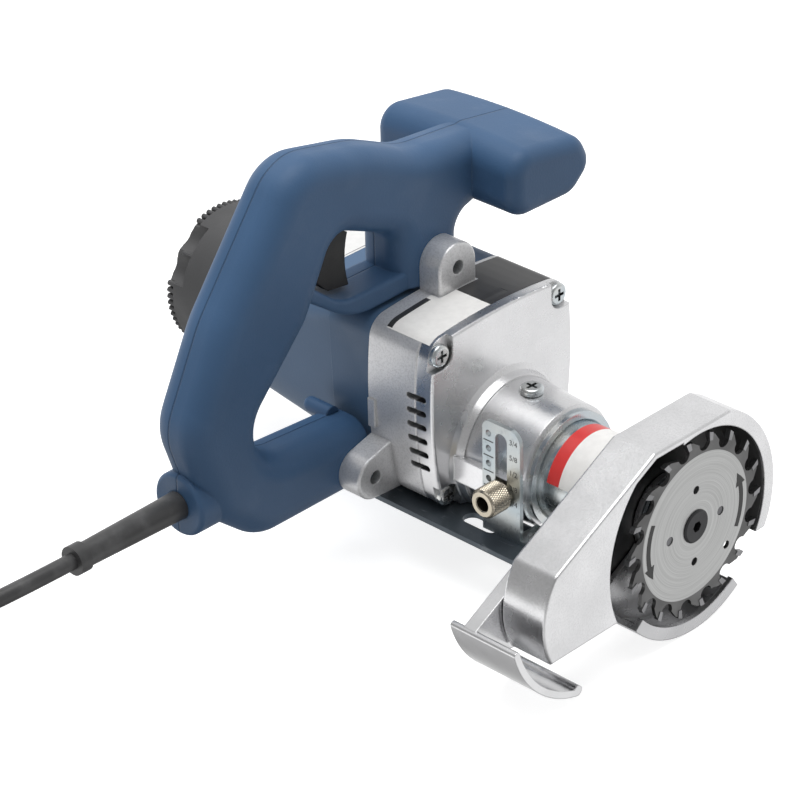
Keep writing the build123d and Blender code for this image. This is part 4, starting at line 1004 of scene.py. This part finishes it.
@dataclass
class DepthScale:
    """Stamped marks and numbers of the depth bracket."""

    face_y: float = -35.0
    mark_x: float = 33.3
    number_x: float = 47.4
    top_z: float = 50.8
    pitch: float = 7.4
    marks: int = 4
    mark_length: float = 5.6
    mark_width: float = 0.5
    ink: float = 0.06
    numbers: tuple[str, ...] = ("3/4", "5/8", "1/2", "3/8", "1/4")
    letter: float = 3.6

    def build(self) -> None:
        """Make the marks and the numbers."""
        ink = PrintedFilm("stamped_mark", (0.075, 0.078, 0.080), 0.5).build()
        new_piece("depth_marks", self.mark_mesh(ink), "base")
        new_piece("depth_numbers", self.number_mesh(ink), "base")

    def mark_mesh(self, ink: bpy.types.Material) -> bpy.types.Mesh:
        """Make short level marks between the holes of the left leg.

        Args:
            ink: The marks' material.

        Returns:
            The mesh of all the marks.
        """
        growth = Growth("scale_marks")
        spot = mm(self.mark_x, self.face_y - self.ink / 2, self.top_z - self.pitch / 2)
        count = growth.entry("Count", "Int", self.marks)
        pitch = growth.entry("Pitch", "Vector", (0.0, 0.0, -self.pitch * MM))
        first = growth.entry("First", "Vector", spot)
        size = growth.entry("Size", "Vector", mm(self.mark_length, self.ink, self.mark_width))
        inputs = {"Count": count, "Start Location": first, "Offset": pitch}
        row = growth.value("GeometryNodeMeshLine", None, inputs)
        bar = growth.value("GeometryNodeMeshCube", None, {"Size": size})
        laid = growth.value("GeometryNodeInstanceOnPoints", None, {"Points": row, "Instance": bar})
        return growth.run(laid, ink, "depth_marks")

    def number_mesh(self, ink: bpy.types.Material) -> bpy.types.Mesh:
        """Make the numbers down the right leg, facing away from the tool.

        Args:
            ink: The numbers' material.

        Returns:
            The mesh of all the numbers.
        """
        shape = bmesh.new()
        for index, words in enumerate(self.numbers):
            curve = bpy.data.curves.new("number", "FONT")
            curve.body = words
            curve.size = self.letter * MM
            curve.align_x = "CENTER"
            curve.align_y = "CENTER"
            curve.extrude = self.ink * MM / 2
            holder = new_object("number", curve)
            mesh = shown_mesh(holder)
            spot = mm(self.number_x, self.face_y - self.ink / 2, self.top_z - self.pitch * index)
            mesh.transform(Matrix.Translation(spot) @ Matrix.Rotation(math.radians(90), 4, "X"))
            shape.from_mesh(mesh)
            bpy.data.objects.remove(holder)
            bpy.data.meshes.remove(mesh)
        return mesh_from(shape, "depth_numbers", ink)


@dataclass
class DepthKnob:
    """Knurled thumb knob with a bored end, on its stud."""

    x: float = 40.5
    seat_y: float = -35.1
    length: float = 12.0
    radius: float = 6.55
    collar: float = 5.6
    collar_slope: float = 0.3
    crown_length: float = 0.5
    crown_drop: float = 0.35
    end_drop: float = 0.9
    bore: float = 3.3
    bore_depth: float = 6.5
    bore_chamfer: float = 0.4
    drill_point: float = 1.2
    stud_radius: float = 2.6
    stud_length: float = 10.0
    around: int = 44
    along: int = 9
    knurl_from: float = 1.3
    knurl_to: float = 11.0
    knurl_height: float = 0.42
    knurl_spread: float = 0.78
    segments: int = 72

    def build(self, finish: bpy.types.Material) -> None:
        """Make the turned body with its knurl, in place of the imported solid.

        Args:
            finish: The knob's material.
        """
        shape = bmesh.new()
        end = self.length
        profile = [
            (-self.stud_length, 0.0),
            (-self.stud_length, self.stud_radius),
            (0.0, self.stud_radius),
            (0.0, self.collar),
            (self.knurl_from - self.collar_slope, self.collar),
            (self.knurl_from, self.radius),
            (self.knurl_to, self.radius),
            (end - self.crown_length, self.radius - self.crown_drop),
            (end, self.radius - self.end_drop),
            (end, self.bore + self.bore_chamfer),
            (end - self.bore_chamfer, self.bore),
            (end - self.bore_depth, self.bore),
            (end - self.bore_depth - self.drill_point, 0.0),
        ]
        angles = steps(0.0, 360.0, self.segments)
        rows = [[self.point(along, radius, angle) for angle in angles] for along, radius in profile]
        sheet_grid(shape, rows)
        shape.from_mesh(self.knurl_mesh(finish))
        mesh = mesh_from(shape, "knurled_knob", finish)
        piece = new_piece("knurled_knob", mesh, "depth_knob")
        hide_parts("depth_knob")

    def point(self, along: float, radius: float, angle: float) -> Vector:
        """Point of the turned body, in metres, at a way along its axis and an angle in degrees."""
        x, z = (radius * part(math.radians(angle)) for part in (math.cos, math.sin))
        return mm(self.x + x, self.seat_y - along, AXIS_Z + z)

    def knurl_mesh(self, finish: bpy.types.Material) -> bpy.types.Mesh:
        """Make rows of small pyramids round the body, each row half a step on.

        Args:
            finish: The knob's material.

        Returns:
            The mesh of all the pyramids.
        """
        growth = Growth("diamond_knurl")
        around = growth.entry("Around", "Int", self.around)
        along = growth.entry("Along", "Int", self.along)
        radius = growth.entry("Radius", "Float", self.radius * MM)
        height = growth.entry("Height", "Float", self.knurl_height * MM)
        pitch = growth.entry("Pitch", "Float", (self.knurl_to - self.knurl_from) / self.along * MM)
        seat = growth.entry("Seat", "Vector", mm(self.x, self.seat_y - self.knurl_from, AXIS_Z))
        index = growth.value("GeometryNodeInputIndex")
        row = (index / around).math("FLOOR")
        turn = (index + row * 0.5) / around * math.tau
        inputs = {0: turn.math("COSINE"), 2: turn.math("SINE")}
        radial = growth.value("ShaderNodeCombineXYZ", None, inputs)
        axial = growth.value("ShaderNodeCombineXYZ", None, {1: 0.0 - (row + 0.5) * pitch})
        inputs = {0: radial, "Scale": radius}
        place = growth.value("ShaderNodeVectorMath", {"operation": "SCALE"}, inputs)
        for shift in (axial, seat):
            inputs = {0: place, 1: shift}
            place = growth.value("ShaderNodeVectorMath", {"operation": "ADD"}, inputs)
        inputs = {"Count": around * along, "Position": place}
        points = growth.value("GeometryNodePoints", None, inputs)
        inputs = {"Vertices": 4, "Radius Bottom": pitch * self.knurl_spread, "Depth": height}
        pyramid = growth.value("GeometryNodeMeshCone", {"fill_type": "NONE"}, inputs)
        facing = growth.value("FunctionNodeAlignRotationToVector", {"axis": "Z"}, {"Vector": radial})
        inputs = {"Points": points, "Instance": pyramid, "Rotation": facing}
        laid = growth.value("GeometryNodeInstanceOnPoints", None, inputs)
        return growth.run(laid, finish, "knurl")


@dataclass
class PowerCord:
    """Black lead: free stretch, put-away coil and tail to the plug, on one smooth line."""

    radius: float = 3.6
    exit_y: float = -201.0
    high_z: float = AXIS_Z + 8.0
    low_z: float = FLOOR_Z + 5.3
    supply_way: tuple[Point, ...] = (
        (0.0, 0.0, 0.0), (0.0, -26.0, 0.0), (-6.0, -61.0, -3.0),
        (-12.0, -96.0, -16.0), (-13.0, -131.0, -40.0),
    )
    coil_x: float = -105.0
    coil_y: float = -400.0
    coil_inner: float = 27.0
    coil_pitch: float = 7.9
    coil_turns: float = 3.5
    coil_climb: float = 0.5
    coil_lead: float = 30.0
    points_per_turn: int = 16
    tail_way: tuple[tuple[float, float], ...] = ((6.0, -66.0), (22.0, -96.0))
    plug_radius: float = 13.0
    length: float = 2.1
    bevel_steps: int = 5
    line_steps: int = 6

    def coil_at(self, turns: float) -> Vector:
        """Find a point of the coil: in on the floor, up a layer in half a turn, then out again.

        Args:
            turns: How many turns of the coil lie before the point.

        Returns:
            The point in millimetres.
        """
        past = turns - self.coil_turns
        radius = self.coil_inner + self.coil_pitch * abs(past)
        share = min(max(past / self.coil_climb + 0.5, 0.0), 1.0)
        height = self.coil_pitch * (1.0 - math.cos(math.pi * share)) / 2.0
        turn = math.radians(-360.0 * turns)
        spot = (self.coil_x + radius * math.cos(turn), self.coil_y + radius * math.sin(turn))
        return Vector((*spot, self.low_z + height))

    def coil_heading(self, turns: float) -> Vector:
        """Way that the coil runs at a point."""
        nudge = 1e-4
        return (self.coil_at(turns + nudge) - self.coil_at(turns - nudge)).normalized()

    def route(self) -> list[Vector]:
        """Lay out the whole lead.

        Returns:
            Its control points in millimetres.
        """
        turns = 2.0 * self.coil_turns
        heading = self.coil_heading(0.0)
        leaving = self.coil_heading(turns)
        entry = self.coil_at(0.0) - heading * 2.0 * self.radius
        leave = self.coil_at(turns) + leaving * 2.0 * self.radius
        plug_z = FLOOR_Z + self.plug_radius
        supply = [
            Vector((PARTING_X + x, self.exit_y + y, self.high_z + z)) for x, y, z in self.supply_way
        ]
        supply += [entry - heading * self.coil_lead, entry]
        coil = [self.coil_at(turn) for turn in steps(0.0, turns, int(turns * self.points_per_turn))]
        tail = [leave, leave + leaving * self.coil_lead]
        tail += [Vector((leave.x + x, leave.y + y, plug_z)) for x, y in self.tail_way]
        return supply + coil + tail

    def build(self, finish: bpy.types.Material) -> None:
        """Args:
            finish: The lead's material.
        """
        curve = bpy.data.curves.new("power_cord", "CURVE")
        curve.dimensions = "3D"
        curve.bevel_depth = self.radius * MM
        curve.bevel_resolution = self.bevel_steps
        curve.resolution_u = self.line_steps
        curve.use_fill_caps = True
        spline = curve.splines.new("NURBS")
        points = self.route()
        spline.points.add(len(points) - 1)
        for control, point in zip(spline.points, points):
            control.co = (*(point * MM), 1.0)
        spline.order_u = 3
        spline.use_endpoint_u = True
        curve.materials.append(finish)
        lead = new_object("power_cord", curve)
        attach(lead, "tool")
        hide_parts("supply_cord", "cord_coil", "cord_tail")
        points[0] * MM
        2.0 * self.radius * MM
        LOG.info("power_cord: %d control points", len(points))


@dataclass(frozen=True)
class Lamp:
    """Large square lamp that faces the saw and shows in no reflection, in metres and watts."""

    name: str
    place: Point
    side: float
    power: float
    target: Point = (0.0, -0.03, 0.07)

    def hang(self) -> None:
        """Add the lamp to the scene."""
        light = bpy.data.lights.new(self.name, "AREA")
        light.size = self.side
        light.energy = self.power
        holder = new_object(self.name, light)
        holder.location = self.place
        aim = Vector(self.target) - Vector(self.place)
        holder.rotation_euler = aim.to_track_quat("-Z", "Y").to_euler()
        holder.visible_glossy = False


@dataclass(frozen=True)
class Sky:
    """Soft white surround: walls, a bright panel overhead, and a pale ground that dims straight below."""

    right: Point = (0.72, 0.69, 0.0)
    back: Point = (-0.70, 0.71, 0.0)
    up: Point = (0.0, 0.0, 1.0)
    wall: float = 0.26
    back_wall: float = 0.58
    right_wall: float = 0.36
    left_wall: float = 0.10
    panel: float = 2.6
    panel_halo: float = 0.25
    ground: float = 0.95
    ground_left: float = 0.25
    ground_least: float = 0.22
    ground_near: float = 0.50

    def build(self) -> None:
        """Make the world and its light."""
        world = bpy.data.worlds.new("studio")
        bpy.context.scene.world = world
        world.use_nodes = True
        graph = Graph(world.node_tree)
        heading = graph.value("ShaderNodeTexCoord", output="Generated")
        parts = []
        for axis in (self.right, self.back, self.up):
            settings = {"operation": "DOT_PRODUCT"}
            parts.append(graph.value("ShaderNodeVectorMath", settings, {0: heading, 1: axis}, "Value"))
        along, behind, rise = parts
        left = 1.0 - along.smooth(-0.9, 0.9)
        near = 1.0 - behind.smooth(-1.0, -0.4)
        above = self.wall + behind.smooth(-0.2, 1.0) * self.back_wall
        above = above + along.smooth(0.3, 1.0) * self.right_wall + left * self.left_wall
        above = above + rise.smooth(0.88, 0.95) * self.panel + rise.smooth(0.70, 1.0) * self.panel_halo
        spread = self.ground_least + rise.smooth(-0.94, -0.52) * (1.0 - self.ground_least)
        below = (self.ground + left * self.ground_left) * spread * (1.0 - near * self.ground_near)
        low = 1.0 - rise.smooth(-0.22, 0.0)
        background = world.node_tree.nodes["Background"]
        graph.feed(background.inputs["Strength"], above + (below - above) * low)
        graph.feed(background.inputs["Color"], rgba((1.0, 1.0, 1.0)))


@dataclass
class Studio:
    """Pale floor, soft light and the camera at the photograph's place."""

    camera_place: Point = (873.449, -942.671, 775.816)
    right: Point = (0.7210, 0.6927, -0.0197)
    up: Point = (-0.3320, 0.3703, 0.8675)
    back: Point = (0.6082, -0.6190, 0.4970)
    lens: float = 153.0
    sensor: float = 36.0
    far_clip: float = 100.0
    floor_side: float = 60.0
    floor_gap: float = 0.3
    floor_glow: float = 0.75
    floor_dark: Colour = (0.58, 0.58, 0.58)
    floor_light: Colour = (0.62, 0.62, 0.62)
    sky: Sky = Sky()
    lamps: tuple[Lamp, ...] = (
        Lamp("key_lamp", (-0.60, -0.30, 1.6), side=1.2, power=11.0),
        Lamp("fill_lamp", (1.2, -1.0, 1.3), side=1.0, power=1.2),
    )

    def build(self) -> None:
        """Make the camera, the floor, the sky and the lamps."""
        self.make_camera()
        self.make_floor()
        self.sky.build()
        for lamp in self.lamps:
            lamp.hang()
        bpy.context.scene.view_settings.view_transform = "Standard"

    def make_camera(self) -> None:
        """Place the camera."""
        lens = bpy.data.cameras.new("camera")
        lens.lens = self.lens
        lens.sensor_width = self.sensor
        lens.clip_end = self.far_clip
        camera = new_object("camera", lens)
        turn = Matrix((self.right, self.up, self.back)).transposed().to_4x4()
        camera.matrix_world = Matrix.Translation(mm(*self.camera_place)) @ turn
        bpy.context.scene.camera = camera

    def make_floor(self) -> None:
        """Lay a wide pale floor just under the lower guard."""
        shape = bmesh.new()
        bmesh.ops.create_grid(shape, x_segments=1, y_segments=1, size=self.floor_side / 2)
        bmesh.ops.translate(shape, verts=shape.verts, vec=mm(0.0, 0.0, FLOOR_Z - self.floor_gap))
        mesh = bpy.data.meshes.new("floor")
        shape.to_mesh(mesh)
        shape.free()
        shader = Shader("pale_floor")
        tone = shader.noise(3.0)
        base = shader.mix(self.floor_dark, self.floor_light, tone)
        shader.finish(base, 0.7, tone, 0.01, specular=0.1)
        shader.feed(shader.surface.inputs["Emission Color"], rgba((1.0, 1.0, 1.0)))
        shader.feed(shader.surface.inputs["Emission Strength"], self.floor_glow)
        mesh.materials.append(shader.material)
        floor = new_object("floor", mesh)
        floor.visible_glossy = False
        floor.visible_diffuse = False


def main() -> None:
    """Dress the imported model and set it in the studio."""
    logging.basicConfig(level=logging.INFO, format="%(name)s %(message)s")
    Studio().build()
    finishes = dress_nodes()
    PowerCord().build(finishes["black_rubber"])
    NeckBands().build()
    CaseFilm().build()
    HousingFilm().build()
    BladeArrows().build()
    DepthScale().build()
    DepthKnob().build(finishes["knurled_steel"])


if __name__ == "__main__":
    main()
